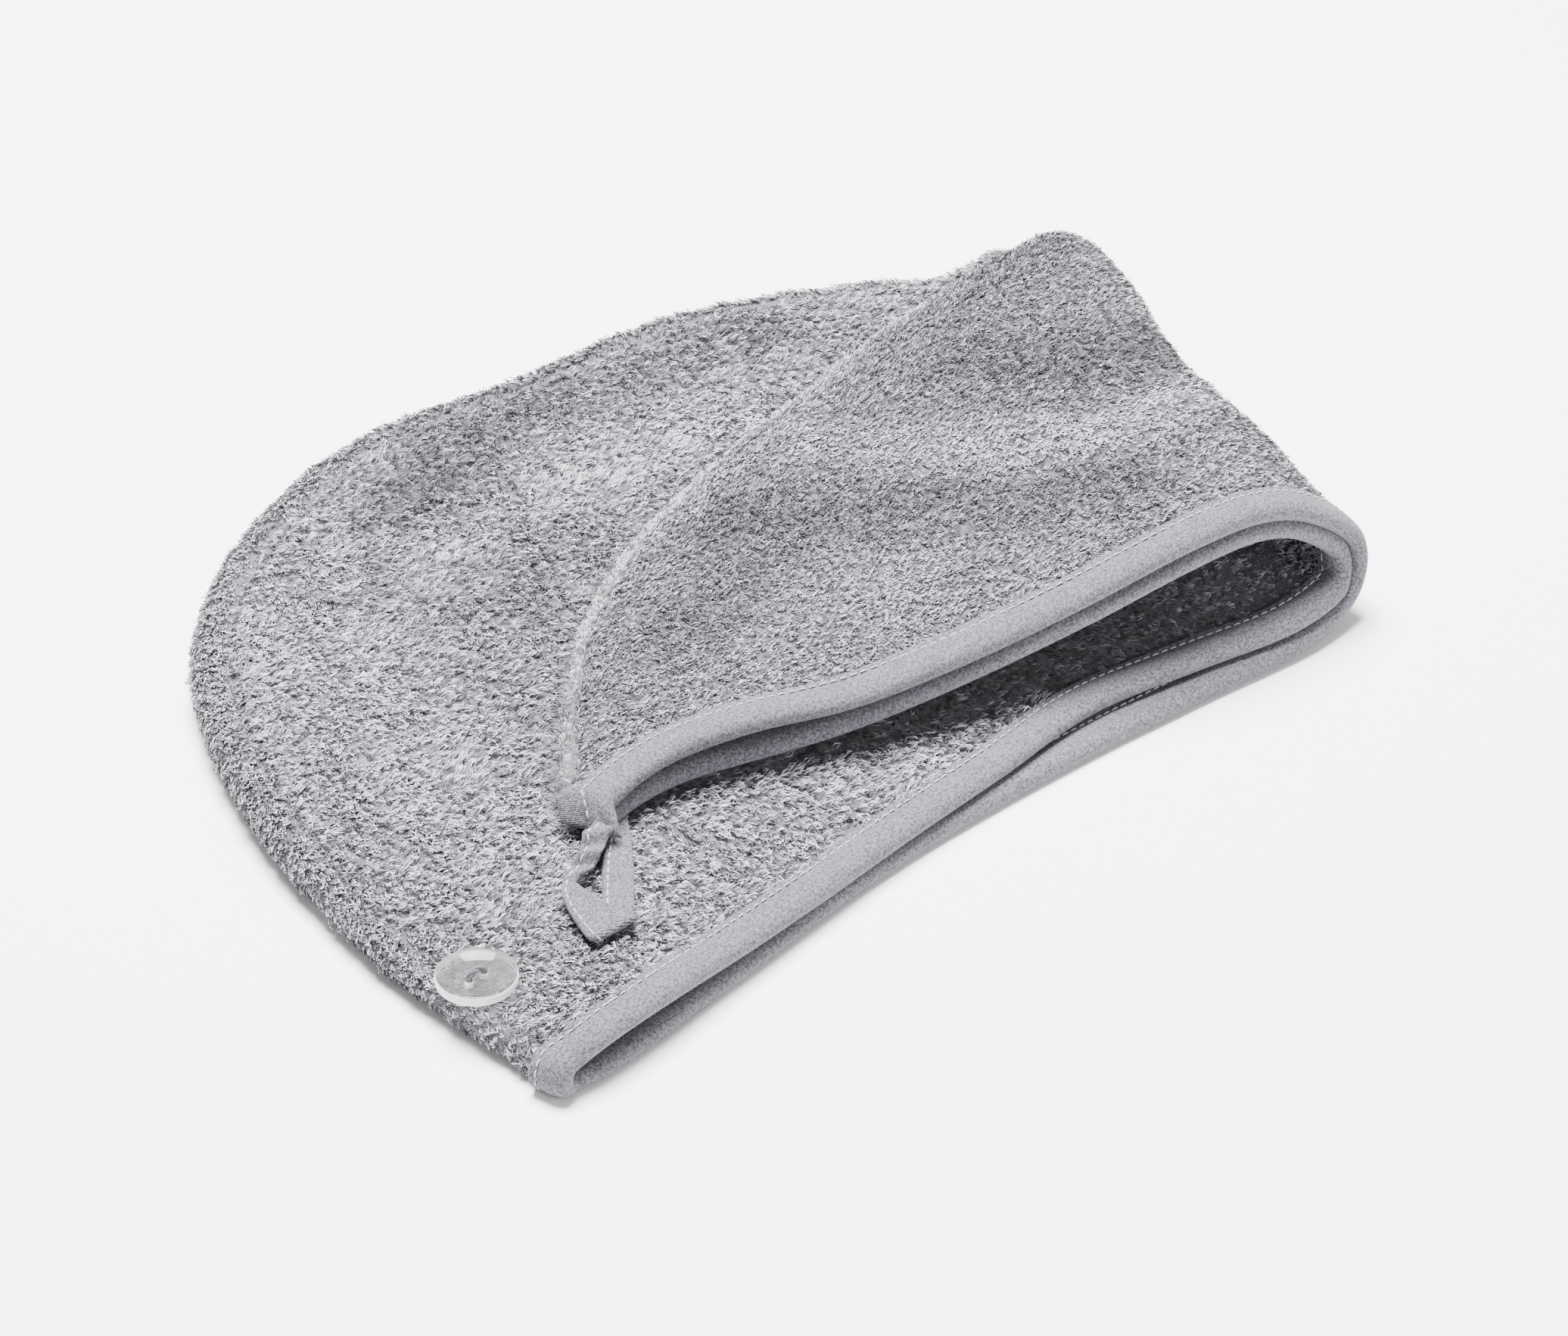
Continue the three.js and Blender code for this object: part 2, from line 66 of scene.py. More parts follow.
# Sections across the two layers, in order from the button corner through the fold to
# the tail's tip. Mouth and seam places are shares of the lying length and width, pile
# is how far the section has climbed onto the hood, and the rest are shares of the fold
# rise, the mouth opening, the layer hollow and the upper inset.
SECTION_COLUMNS = (
    "mouth_x", "mouth_y", "seam_x", "seam_y", "pile",
    "mouth_rise", "seam_rise", "crown", "opening", "hollow", "inset",
)
SECTION_ROWS = (
    (0.000, 0.000, -0.013, 0.059, 0, 0, 0, 0, 0.29, 0.39, 0),
    (0.032, -0.004, -0.016, 0.170, 0, 0, 0, 0, 0.93, 0.5, 0),
    (0.093, 0.000, -0.005, 0.348, 0, 0, 0, 0, 0.93, 0.8, 0),
    (0.173, 0.011, 0.035, 0.567, 0, 0, 0, 0, 0.41, 1, 0),
    (0.267, 0.022, 0.117, 0.789, 0, 0, 0, 0, 0.12, 1, 0),
    (0.373, 0.030, 0.251, 0.944, 0, 0, 0, 0, 0.06, 1, 0.11),
    (0.480, 0.026, 0.427, 1.022, 0, 0, 0, 0, 0.09, 0.9, 0.44),
    (0.587, 0.015, 0.592, 0.992, 0, 0, 0, 0, 0.15, 0.9, 1),
    (0.688, 0.000, 0.765, 0.963, 0, 0, 0, 0, 0.15, 0.9, 0.67),
    (0.789, -0.019, 0.912, 0.860, 0.02, 0.05, 0, 0, 0.12, 0.9, 0.22),
    (0.856, -0.015, 0.967, 0.768, 0.2, 0.12, 0.05, 0.2, 0.1, 0.8, 0),
    (0.867, -0.007, 1.008, 0.696, 0.55, 0.5, 0.35, 0.55, 0.1, 0.7, 0),
    (0.824, 0.011, 0.984, 0.656, 1, 0.64, 0.5, 0.75, 0.1, 0.6, 0),
    (0.771, 0.030, 0.912, 0.663, 1, 0.96, 0.4, 0.78, 0.12, 0.5, 0),
    (0.699, 0.048, 0.813, 0.659, 1, 0.95, 0.44, 0.64, 0.2, 0.4, 0),
    (0.603, 0.085, 0.699, 0.641, 1, 0.59, 0.31, 0.45, 0.23, 0.36, 0),
    (0.507, 0.126, 0.573, 0.619, 1, 0.27, 0.13, 0.36, 0.23, 0.36, 0),
    (0.413, 0.167, 0.459, 0.581, 1, 0.06, 0.03, 0.23, 0.42, 0.4, 0),
    (0.333, 0.207, 0.349, 0.504, 1, 0.01, 0, 0.14, 0.85, 0.44, 0),
    (0.272, 0.233, 0.272, 0.419, 1, 0.01, 0, 0.05, 0.65, 0.4, 0),
    (0.229, 0.237, 0.213, 0.341, 1, 0.02, 0, 0, 0.38, 0.34, 0),
    (0.192, 0.230, 0.176, 0.285, 1, 0, 0, 0, 0.12, 0.3, 0),
)
LAST_SECTION = len(SECTION_ROWS) - 1
FOLD_FIRST_ROW = 9

# Share of the way across at which the hollow is full, the power that leans the crown
# toward the seam, the largest share of a section that the rolled edge takes, its least
# reach, and the sections and stations that the centring looks at
HOLLOW_FULL_SHARE = 0.35
CROWN_SKEW = 1.35
EDGE_ROLL_SHARE = 0.9
LEAST_ROLL = 0.001
CENTRING_ROWS = 211
CENTRING_STATIONS = 10

# Soft dents and swells: along, across, reach along, reach across, height. The first
# list is shares of the fold rise and moves both layers, the second is shares of the
# layer hollow and moves the hood's upper layer.
DENT_ROWS = (
    (11.4, 0.44, 1.3, 0.15, -0.32),
    (12.4, 0.82, 1.5, 0.12, 0.20),
    (13.4, 0.62, 0.9, 0.10, -0.14),
    (14.6, 0.48, 1.2, 0.10, 0.10),
    (15.6, 0.78, 1.0, 0.14, 0.09),
    (16.4, 0.35, 1.2, 0.15, -0.06),
)
CREASE_ROWS = (
    (5.9, 0.77, 0.9, 0.07, -0.20),
    (8.0, 0.85, 0.8, 0.06, -0.18),
    (3.9, 0.55, 0.7, 0.10, -0.12),
)

# Lines of finer ridges and valleys of both layers: places along and across, then the
# width and height in metres
RIDGE_LINES = (
    (((15.8, 0.87), (15.5, 0.70), (14.8, 0.50), (14.4, 0.41), (13.8, 0.33), (12.5, 0.25)),
     0.009, 0.0040),
    (((14.1, 0.61), (13.8, 0.47), (13.2, 0.36), (12.3, 0.29)), 0.009, -0.0026),
    (((15.07, 0.84), (15.07, 0.80)), 0.009, -0.0020),
    (((11.2, 0.72), (11.0, 0.55), (11.3, 0.42)), 0.008, -0.0018),
    (((5.3, 0.86), (6.0, 0.81), (6.7, 0.79)), 0.007, -0.0014),
    (((7.3, 0.80), (8.4, 0.90)), 0.007, -0.0014),
)

# Lines of painted highlight and painted shade on the yarn of each panel: light on ridges,
# rims and in the hollow of the fold, shade in valleys, partly where the nap shows its tips
# or its shaded side. Places along and across, then the width in metres and how much
# lighter or darker the yarn is painted
NAP_AND_PAINTED_LIGHT_LINES = {
    -1: (
        (((17.2, 0.97), (16.4, 0.94), (15.8, 0.86), (15.3, 0.63), (14.8, 0.43),
          (13.9, 0.31), (12.0, 0.33)), 0.006, 0.95),
        (((18.6, 0.96), (17.6, 0.98), (16.9, 0.99), (15.8, 0.98), (14.8, 0.98),
          (13.5, 0.97)), 0.009, 0.75),
        (((12.7, 0.78), (12.2, 0.30)), 0.040, -0.14),
        (((14.2, 0.68), (13.6, 0.50), (12.2, 0.44)), 0.014, -0.46),
        (((16.6, 0.76), (15.8, 0.52), (14.9, 0.33), (13.9, 0.19)), 0.012, -0.42),
        (((17.0, 0.56), (17.6, 0.56)), 0.018, -0.36),
        (((16.3, 0.30), (16.0, 0.28)), 0.014, 0.20),
    ),
    1: (
        (((5.6, 0.86), (6.3, 0.89), (6.9, 0.92), (7.5, 0.88), (8.2, 0.89)), 0.008, -0.38),
        (((5.7, 0.74), (7.0, 0.73), (7.6, 0.76)), 0.007, 0.34),
        (((6.0, 0.82), (5.8, 0.67), (5.3, 0.61)), 0.010, -0.30),
        (((4.6, 0.88), (4.3, 0.69), (3.1, 0.55)), 0.030, 0.16),
        (((5.1, 0.79), (4.5, 0.48)), 0.008, -0.20),
        (((9.8, 0.12), (12.6, 0.12)), 0.040, 0.80),
    ),
}

# Edges of the button loop's tape from the tail's tip and back under it: shares of the
# loop's length outward and of its width aside, and lift as a share of the tail's height,
# first for the left edge and then for the right one. The tape folds over at row 10.
LOOP_ROWS = (
    (-0.02, -0.12, 0.62, 0.00, 0.10, 0.62),
    (0.08, -0.16, 0.58, 0.08, 0.12, 0.58),
    (0.14, -0.22, 0.56, 0.14, 0.10, 0.54),
    (0.18, -0.31, 0.55, 0.21, 0.02, 0.48),
    (0.28, -0.33, 0.45, 0.32, -0.05, 0.35),
    (0.43, -0.43, 0.38, 0.45, -0.18, 0.28),
    (0.49, -0.51, 0.20, 0.52, -0.32, 0.22),
    (0.59, -0.55, 0.14, 0.56, -0.38, 0.26),
    (0.72, -0.51, 0.18, 0.61, -0.30, 0.32),
    (0.88, -0.37, 0.24, 0.69, -0.10, 0.32),
    (1.04, -0.15, 0.26, 0.82, 0.38, 0.30),
    (0.93, -0.04, 0.02, 0.75, 0.38, 0.05),
    (0.74, -0.04, 0.00, 0.64, 0.38, 0.00),
    (0.57, -0.04, 0.00, 0.46, 0.37, 0.00),
    (0.33, -0.05, 0.00, 0.26, 0.35, 0.00),
    (0.10, -0.02, 0.02, 0.04, 0.30, 0.02),
    (-0.07, 0.04, 0.08, -0.16, 0.23, 0.08),
)

# The loop's pleats: the row where they are deepest, the rows that they fade over, and
# their height
CRUMPLED_ROW = 4.2
CRUMPLED_REACH = 1.7
PLEAT_HEIGHT = 0.0014

# The tape: its splice seam as a share of its whole way, its stitches' distance from its
# inner edge, and its end at the tail's tip, which turns aside, sinks by a share of the
# tail's height and spreads past the stitches
SPLICE = 0.67
STITCH_INSET = 0.0022
TAPE_END_TURN = 0.3
TAPE_END_DROP = 0.58
TAPE_END_FLANGE = 0.0065

# Ways in plan out from the tail's tip and aside
OUTWARD = np.array([-1, -1, 0]) / math.sqrt(2)
ASIDE = np.array([1, -1, 0]) / math.sqrt(2)


def length(name, default, description):
    return bpy.props.FloatProperty(
        name=name, default=default, description=description, unit="LENGTH", precision=5
    )


def colour(name, default, description):
    return bpy.props.FloatVectorProperty(
        name=name, default=default, description=description, subtype="COLOR",
        size=3, min=0, max=1,
    )


class TowelSizes(bpy.types.PropertyGroup):
    lying_length: length("Lying Length", 0.375, "Reach of the sections along the mouth")
    lying_width: length("Lying Width", 0.270, "Reach of the sections across the cloth")
    fold_rise: length("Fold Rise", 0.022, "Height of the loose fold over the stack")
    layer_hollow: length("Layer Hollow", 0.010, "Height of the hollow for the head")
    mouth_opening: length("Mouth Opening", 0.0052, "Widest opening at the bound mouth")
    upper_inset: length("Upper Inset", 0.009, "How far the upper edge lies back")
    edge_roll: length("Edge Roll", 0.018, "Width of the rounded edge at the seam")
    terry: length("Terry", 0.0032, "Thickness of the cloth with its loops")
    cloth_gap: length("Cloth Gap", 0.0003, "Gap between layers that rest on each other")
    binding_width: length("Binding Width", 0.012, "Width of the folded tape")
    tape: length("Tape", 0.0008, "Thickness of the tape")
    tape_end: length("Tape End", 0.008, "How far the outer tape runs on past the tip")
    tape_tuck: length("Tape Tuck", 0.002, "How far the inner tape runs on past the tip")
    clearance: length("Clearance", 0.0004, "Gap between the tape and the terry")
    swell: length("Swell", 0.006, "How far the cloth takes to settle past the tape")
    button: length("Button", 0.023, "Diameter of the button")
    button_thickness: length("Button Thickness", 0.003, "Thickness of the button")
    button_dish: length("Button Dish", 0.0009, "Depth of the dish in the button")
    dish_diameter: length("Dish Diameter", 0.017, "Diameter of the dish")
    hole: length("Hole", 0.0026, "Diameter of a button hole")
    hole_spacing: length("Hole Spacing", 0.0054, "Distance between the two holes")
    thread: length("Thread", 0.0019, "Diameter of the sewing thread bundle")
    thread_arch: length("Thread Arch", 0.0019, "Height of the thread over the button")
    shank: length("Shank", 0.0012, "Gap between the button and the cloth")
    loop_length: length("Loop Length", 0.050, "Reach of the button loop")
    loop_width: length("Loop Width", 0.0215, "Spread of the button loop")
    loop_thickness: length("Loop Thickness", 0.0019, "Thickness of the loop's tape")
    yarn: length("Yarn", 0.00036, "Width of the hood's pile yarn")
    fine_yarn: length("Fine Yarn", 0.00032, "Width of the tail's pile yarn")
    stitch: length("Stitch", 0.0024, "Length of one stitch")
    stitch_gap: length("Stitch Gap", 0.0009, "Gap between two stitches")
    stitch_thread: length("Stitch Thread", 0.0005, "Diameter of the stitching thread")


class TowelColours(bpy.types.PropertyGroup):
    # The tip colour is the yarn's own; the root colour is the yarn darkened as painted shade
    # deep in the pile.
    pile_tip: colour("Pile Tip", (0.66, 0.655, 0.715), "Yarn at the top of a loop")
    pile_shaded_root: colour("Pile Root", (0.055, 0.055, 0.06), "Yarn deep in the pile")
    tape: colour("Tape", (0.096, 0.095, 0.109), "Jersey tape")
    stitch: colour("Stitch", (0.55, 0.55, 0.58), "Stitching thread")
    button: colour("Button", (0.98, 0.98, 0.985), "Clear plastic")
    button_thread: colour("Button Thread", (0.09, 0.09, 0.10), "Thread of the button")
    floor: colour("Floor", (0.95, 0.95, 0.95), "Floor")


# A distance beyond all others, and a length that isn't quite nothing
FAR = 1e9
TINY = 1e-12

# Length that one section and the whole way across stand for along the soft lines
LINE_METRIC = np.array([0.034, 0.14])


def smooth(x):
    """Soft step from 0 to 1."""
    q = np.clip(x, 0, 1)
    return q * q * (3 - 2 * q)


def column(rows, place, t):
    """Smooth curve through the numbers at one place of a table's rows."""
    values = np.array([row[place] for row in rows], float)
    last = len(values) - 1
    i = np.clip(np.floor(t).astype(int), 0, last - 1)
    f = t - i
    b, c = values[i], values[i + 1]
    a = np.where(i > 0, values[np.maximum(i - 1, 0)], 2 * b - c)
    d = np.where(i + 2 <= last, values[np.minimum(i + 2, last)], 2 * c - b)
    cubic = 3 * (b - c) + d - a
    return b + 0.5 * f * (c - a + f * (2 * a - 5 * b + 4 * c - d + f * cubic))


def section(name, u):
    return column(SECTION_ROWS, SECTION_COLUMNS.index(name), u)


def bumps(rows, u, v):
    """Sum of soft round dents and swells."""
    total = np.zeros(np.broadcast(u, v).shape)
    for along, across, along_reach, across_reach, height in rows:
        total += height * np.exp(
            -(((u - along) / along_reach) ** 2) - ((v - across) / across_reach) ** 2
        )
    return total


def near_lines(rows, u, v):
    """Sum of soft lines, measured from places in sections and shares."""
    total = np.zeros(np.broadcast(u, v).shape)
    place = np.stack(np.broadcast_arrays(u, v), -1) * LINE_METRIC
    for line, width, height in rows:
        closest = np.full(total.shape, FAR)
        corners = np.array(line) * LINE_METRIC
        for a, b in zip(corners[:-1], corners[1:]):
            way = b - a
            t = np.clip(((place - a) @ way) / (way @ way), 0, 1)
            gap = np.linalg.norm(place - a - t[..., None] * way, axis=-1)
            closest = np.minimum(closest, gap)
        total += height * np.exp(-((closest / width) ** 2))
    return total


def unit(vectors):
    size = np.linalg.norm(vectors, axis=-1, keepdims=True)
    return vectors / np.maximum(size, TINY)


def waves(points, wavelength, seed, count=9):
    """Gentle random field, mostly from -1 to 1, over points in the plane."""
    rng = np.random.default_rng(seed)
    total = np.zeros(points.shape[:-1])
    for _ in range(count):
        angle = rng.uniform(0, 2 * math.pi)
        size = 2 * math.pi / (wavelength * rng.uniform(0.7, 1.6))
        phase = rng.uniform(0, 2 * math.pi)
        total += np.sin(
            size * (points[..., 0] * math.cos(angle) + points[..., 1] * math.sin(angle))
            + phase
        )
    return total / math.sqrt(count) / 1.4


class Cloth:
    """The two layers of the towel as surfaces over the sections and across them."""

    def __init__(self, sizes):
        self.s = sizes
        tape = sizes.tape
        self.binding_thickness = sizes.terry + 2 * (sizes.clearance + tape)
        self.slot_depth = 2 * tape
        self.nose_offset = self.slot_depth + sizes.clearance
        self.binding_reach = sizes.binding_width - self.nose_offset + 2 * sizes.clearance
        self.hood_stack = 2 * sizes.terry + sizes.layer_hollow
        self.layer_rest = sizes.clearance + tape + 2 * sizes.cloth_gap
        self.origin = np.zeros(3)
        u = np.linspace(0, LAST_SECTION, CENTRING_ROWS)
        points, _ = self.panel(u, -1, CENTRING_STATIONS, CENTRING_STATIONS)
        low, high = points.reshape(-1, 3).min(0), points.reshape(-1, 3).max(0)
        box_low, box_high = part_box("terry_panel_lower")
        middle = (np.array(box_low) + np.array(box_high)) / 2
        self.origin = np.array([*(middle - (low + high) / 2)[:2], 0.0])

    def hollow(self, u, v):
        """Height between the two layers."""
        s = self.s
        at_mouth = 2 * (s.clearance + s.tape) + section("opening", u) * s.mouth_opening
        inside = (section("hollow", u) + bumps(CREASE_ROWS, u, v)) * s.layer_hollow
        return at_mouth + (inside - at_mouth) * smooth(v / HOLLOW_FULL_SHARE)

    def span(self, u):
        """Way in plan from the mouth to the seam."""
        x = (section("seam_x", u) - section("mouth_x", u)) * self.s.lying_length
        y = (section("seam_y", u) - section("mouth_y", u)) * self.s.lying_width
        return np.hypot(x, y)

    def outside(self, u, v):
        """A point on the outside face, before its dents and before centring."""
        s = self.s
        mouth_x, mouth_y = section("mouth_x", u), section("mouth_y", u)
        x = (mouth_x + (section("seam_x", u) - mouth_x) * v) * s.lying_length
        y = (mouth_y + (section("seam_y", u) - mouth_y) * v) * s.lying_width
        pair = 2 * s.terry + self.hollow(u, v)
        pile = section("pile", u)
        climbed = pile * (self.hood_stack + self.layer_rest + pair)
        rise = section("mouth_rise", u)
        rise = rise + (section("seam_rise", u) - rise) * v
        crown = section("crown", u) * np.sin(math.pi * v**CROWN_SKEW)
        from_tape = (v * self.span(u) - self.binding_reach) / s.swell
        on_floor = 1 - np.clip(pile, 0, 1)
        lifted = (s.clearance + s.tape) * on_floor * (1 - smooth(from_tape))
        z = np.maximum(climbed + (rise + crown) * s.fold_rise, 0) + lifted
        return np.stack(np.broadcast_arrays(x, y, z), -1)

    def inward(self, u, v):
        """Way from the outside face into the stack."""
        step = 0.002
        along = self.outside(np.minimum(u + step, LAST_SECTION), v)
        along = along - self.outside(np.maximum(u - step, 0), v)
        across = self.outside(u, np.minimum(v + step, 1))
        across = across - self.outside(u, np.maximum(v - step, 0))
        return unit(np.cross(along, across))

    def stack(self, u, v, depth):
        """A point in the stack; depth is measured inward from the outside face."""
        dent = bumps(DENT_ROWS, u, v) * self.s.fold_rise + near_lines(RIDGE_LINES, u, v)
        dent = dent * smooth(u - FOLD_FIRST_ROW)
        at = self.outside(u, v) + self.inward(u, v) * (depth - dent)[..., None]
        return at + self.origin

    def rolled(self, distance, reach, full):
        """Half height of the rounded edge at a distance from the seam."""
        q = np.clip(distance / reach, 0, 1)
        gap = self.s.cloth_gap / 2
        return gap + (full - gap) * np.sqrt(1 - (1 - q) ** 2)

    def inset(self, u, side):
        """How far a panel's edge lies back from the mouth line."""
        if side > 0:
            return np.maximum(section("inset", u), 0) * self.s.upper_inset
        return np.zeros_like(u)

    def stations(self, u, inset, flat, roll):
        """Distances from the mouth of the stations across each section."""
        span = self.span(u)
        start = inset + self.binding_reach
        reach = np.minimum(self.s.edge_roll, EDGE_ROLL_SHARE * (span - start))
        d = [inset, inset + 0.5 * self.binding_reach]
        for k in range(flat):
            d.append(start + (span - reach - start) * k / flat)
        for k in range(roll + 1):
            d.append(span - reach * (1 - math.sin(k / roll * math.pi / 2)))
        return np.stack(d, -1)

    def faces(self, u, d, side):
        """Outer and inner point of a panel at a distance from the mouth."""
        s = self.s
        span = self.span(u)
        inset = self.inset(u, side)
        most = EDGE_ROLL_SHARE * (span - inset - self.binding_reach)
        reach = np.minimum(s.edge_roll, most)
        from_seam = span - d
        v = np.clip(d / span, 0, 1)
        half = self.hollow(u, v) / 2
        outer_half = self.rolled(from_seam, reach, half + s.terry)
        outer = self.stack(u, v, s.terry + half + side * outer_half)
        wall = s.terry * np.maximum(1 - from_seam / reach, 0)
        v_in = np.clip((d - wall) / span, 0, 1)
        half_in = self.hollow(u, v_in) / 2
        inner_reach = np.maximum(reach - s.terry, LEAST_ROLL)
        inner_half = self.rolled(from_seam + wall - s.terry, inner_reach, half_in)
        inner = self.stack(u, v_in, s.terry + half_in + side * inner_half)
        return outer, inner

    def panel(self, u, side, flat, roll):
        """Outer and inner points of a whole panel."""
        d = self.stations(u, self.inset(u, side), flat, roll)
        grid = np.broadcast_to(u[:, None], d.shape)
        return self.faces(grid, d, side)

    def edge(self, u, side):
        """Where the tape holds a panel's edge: middle, way inward and way up."""
        inset = self.inset(u, side)
        outer, inner = self.faces(u, inset, side)
        outer_in, inner_in = self.faces(u, inset + self.binding_reach, side)
        middle = (outer + inner) / 2
        inward = unit((outer_in + inner_in) / 2 - middle)
        up = -side * (inner - outer + inner_in - outer_in)
        up = unit(up - (up * inward).sum(-1, keepdims=True) * inward)
        return middle, inward, up


def add_mesh(name, points, quads, triangles=None, uv=None, shades=None):
    """A mesh object from arrays of corners and faces; uv and shades are per corner."""
    mesh = bpy.data.meshes.new(name)
    points = np.ascontiguousarray(points, np.float32).reshape(-1, 3)
    mesh.vertices.add(len(points))
    mesh.vertices.foreach_set("co", points.ravel())
    triangles = np.zeros((0, 3), int) if triangles is None else triangles
    index = np.concatenate([quads.ravel(), triangles.ravel()]).astype(np.int32)
    sizes = np.concatenate([np.full(len(quads), 4), np.full(len(triangles), 3)])
    mesh.loops.add(len(index))
    mesh.loops.foreach_set("vertex_index", index)
    mesh.polygons.add(len(sizes))
    starts = np.concatenate([[0], np.cumsum(sizes)[:-1]]).astype(np.int32)
    mesh.polygons.foreach_set("loop_start", starts)
    if uv is not None:
        layer = mesh.uv_layers.new(name="along")
        layer.data.foreach_set("uv", np.asarray(uv, np.float32)[index].ravel())
    if shades is not None:
        layer = mesh.attributes.new("shade", "FLOAT", "POINT")
        layer.data.foreach_set("value", np.asarray(shades, np.float32).ravel())
    mesh.update(calc_edges=True)
    mesh.validate()
    smooth_faces(mesh)
    made = bpy.data.objects.new(name, mesh)
    bpy.context.scene.collection.objects.link(made)
    return made


def smooth_faces(mesh):
    mesh.polygons.foreach_set("use_smooth", np.ones(len(mesh.polygons), bool))


def grid_quads(rows, columns, closed=False):
    """Faces of a grid of points; its rows are rings where it is closed."""
    j = np.arange(columns if closed else columns - 1)
    i, j = np.meshgrid(np.arange(rows - 1), j, indexing="ij")
    after = (j + 1) % columns
    low, high = i * columns, (i + 1) * columns
    quads = [low + j, low + after, high + after, high + j]
    return np.stack([q.ravel() for q in quads], -1)


def finish_piece(piece, material, nodes=()):
    piece.data.materials.append(material)
    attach(piece, "root")
    if nodes:
        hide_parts(*nodes)


# Materials

def new_material(name):
    material = bpy.data.materials.new(name)
    material.use_nodes = True
    tree = material.node_tree
    shader = next(n for n in tree.nodes if n.type == "BSDF_PRINCIPLED")
    return material, tree, shader


def fill_in(made, values):
    for name, value in values.items():
        made.inputs[name].default_value = value


def node(tree, kind, values=None, **settings):
    made = tree.nodes.new(kind)
    for name, value in settings.items():
        setattr(made, name, value)
    fill_in(made, values or {})
    return made


def noise_field(tree, place, values):
    noise = node(tree, "ShaderNodeTexNoise", values)
    tree.links.new(place.outputs["Object"], noise.inputs["Vector"])
    return noise.outputs["Fac"]


def darker(tone, share):
    return tuple(c * share for c in tone)


def ramp(tree, factor, low, high, low_at=0.0, high_at=1.0):
    """Colour that runs from one tone to another over a factor."""
    made = node(tree, "ShaderNodeValToRGB")
    stops = made.color_ramp.elements
    stops[0].position, stops[1].position = low_at, high_at
    stops[0].color = (*low, 1)
    stops[1].color = (*high, 1)
    tree.links.new(factor, made.inputs["Fac"])
    return made.outputs["Color"]


def terry_material(colours):
    """Looped yarn: darker at its root, as painted shade deep in the pile, lighter at its tip,
    with a soft uneven tint.
    """
    found = bpy.data.materials.get("looped_yarn")
    if found:
        return found
    material, tree, shader = new_material("looped_yarn")
    shade = node(tree, "ShaderNodeAttribute", attribute_name="shade")
    # The shade attribute paints shade: 0 gives the dark root colour, 1 the yarn's own tip
    # colour.
    base = ramp(tree, shade.outputs["Fac"], colours.pile_shaded_root, colours.pile_tip)
    place = node(tree, "ShaderNodeTexCoord")
    noise = noise_field(tree, place, {"Scale": 900.0, "Detail": 3.0})
    tint = ramp(tree, noise, (0.80, 0.80, 0.80), (1.0, 1.0, 1.0), 0.3, 0.7)
    mix = node(tree, "ShaderNodeMix", data_type="RGBA", blend_type="MULTIPLY")
    mix.inputs["Factor"].default_value = 1.0
    tree.links.new(base, mix.inputs["A"])
    tree.links.new(tint, mix.inputs["B"])
    tree.links.new(mix.outputs["Result"], shader.inputs["Base Color"])
    fill_in(shader, {"Roughness": 0.85, "Specular IOR Level": 0.2, "Sheen Weight": 0.1})
    return material


def tape_material(colours):
    """Fine jersey: narrow columns of knit along the tape with a soft heather."""
    found = bpy.data.materials.get("jersey")
    if found:
        return found
    material, tree, shader = new_material("jersey")
    place = node(tree, "ShaderNodeTexCoord")
    grain = noise_field(tree, place, {"Scale": 1300.0, "Detail": 2.0})
    rib = node(
        tree, "ShaderNodeTexWave", {"Scale": 1100.0, "Distortion": 1.5, "Detail": 1.0},
        bands_direction="DIAGONAL",
    )
    tree.links.new(place.outputs["UV"], rib.inputs["Vector"])
    height = node(tree, "ShaderNodeMix")
    height.inputs["Factor"].default_value = 0.25
    tree.links.new(grain, height.inputs["A"])
    tree.links.new(rib.outputs["Fac"], height.inputs["B"])
    dark = darker(colours.tape, 0.42)
    light = tuple(min(c * 1.9, 1) for c in colours.tape)
    base = ramp(tree, height.outputs["Result"], dark, light, 0.40, 0.62)
    tree.links.new(base, shader.inputs["Base Color"])
    bump = node(tree, "ShaderNodeBump", {"Strength": 0.9, "Distance": 0.0002})
    tree.links.new(height.outputs["Result"], bump.inputs["Height"])
    tree.links.new(bump.outputs["Normal"], shader.inputs["Normal"])
    fill_in(shader, {"Roughness": 0.85, "Specular IOR Level": 0.15, "Sheen Weight": 0.12})
    return material


def thread_material(name, tone):
    """Spun thread with fine twist lines."""
    found = bpy.data.materials.get(name)
    if found:
        return found
    material, tree, shader = new_material(name)
    place = node(tree, "ShaderNodeTexCoord")
    noise = noise_field(tree, place, {"Scale": 3000.0, "Detail": 2.0})
    base = ramp(tree, noise, darker(tone, 0.7), tuple(tone), 0.3, 0.7)
    tree.links.new(base, shader.inputs["Base Color"])
    fill_in(shader, {"Roughness": 0.7, "Sheen Weight": 0.2})
    return material


def clear_material(name, colours, clearness, alpha):
    """Clear moulded plastic with faint flow marks."""
    material, tree, shader = new_material(name)
    place = node(tree, "ShaderNodeTexCoord")
    noise = noise_field(tree, place, {"Scale": 60.0, "Detail": 1.0})
    base = ramp(tree, noise, darker(colours.button, 0.96), tuple(colours.button))
    tree.links.new(base, shader.inputs["Base Color"])
    fill_in(shader, {"Roughness": 0.04, "IOR": 1.49})
    fill_in(shader, {"Transmission Weight": clearness, "Alpha": alpha})
    return material


def floor_material(colours):
    material, tree, shader = new_material("floor")
    place = node(tree, "ShaderNodeTexCoord")
    noise = noise_field(tree, place, {"Scale": 3.0})
    base = ramp(tree, noise, darker(colours.floor, 0.985), tuple(colours.floor))
    tree.links.new(base, shader.inputs["Base Color"])
    fill_in(shader, {"Roughness": 0.9, "Specular IOR Level": 0.1})
    return material


# Pieces

PANEL_NAMES = {-1: "terry_panel_lower", 1: "terry_panel_upper"}
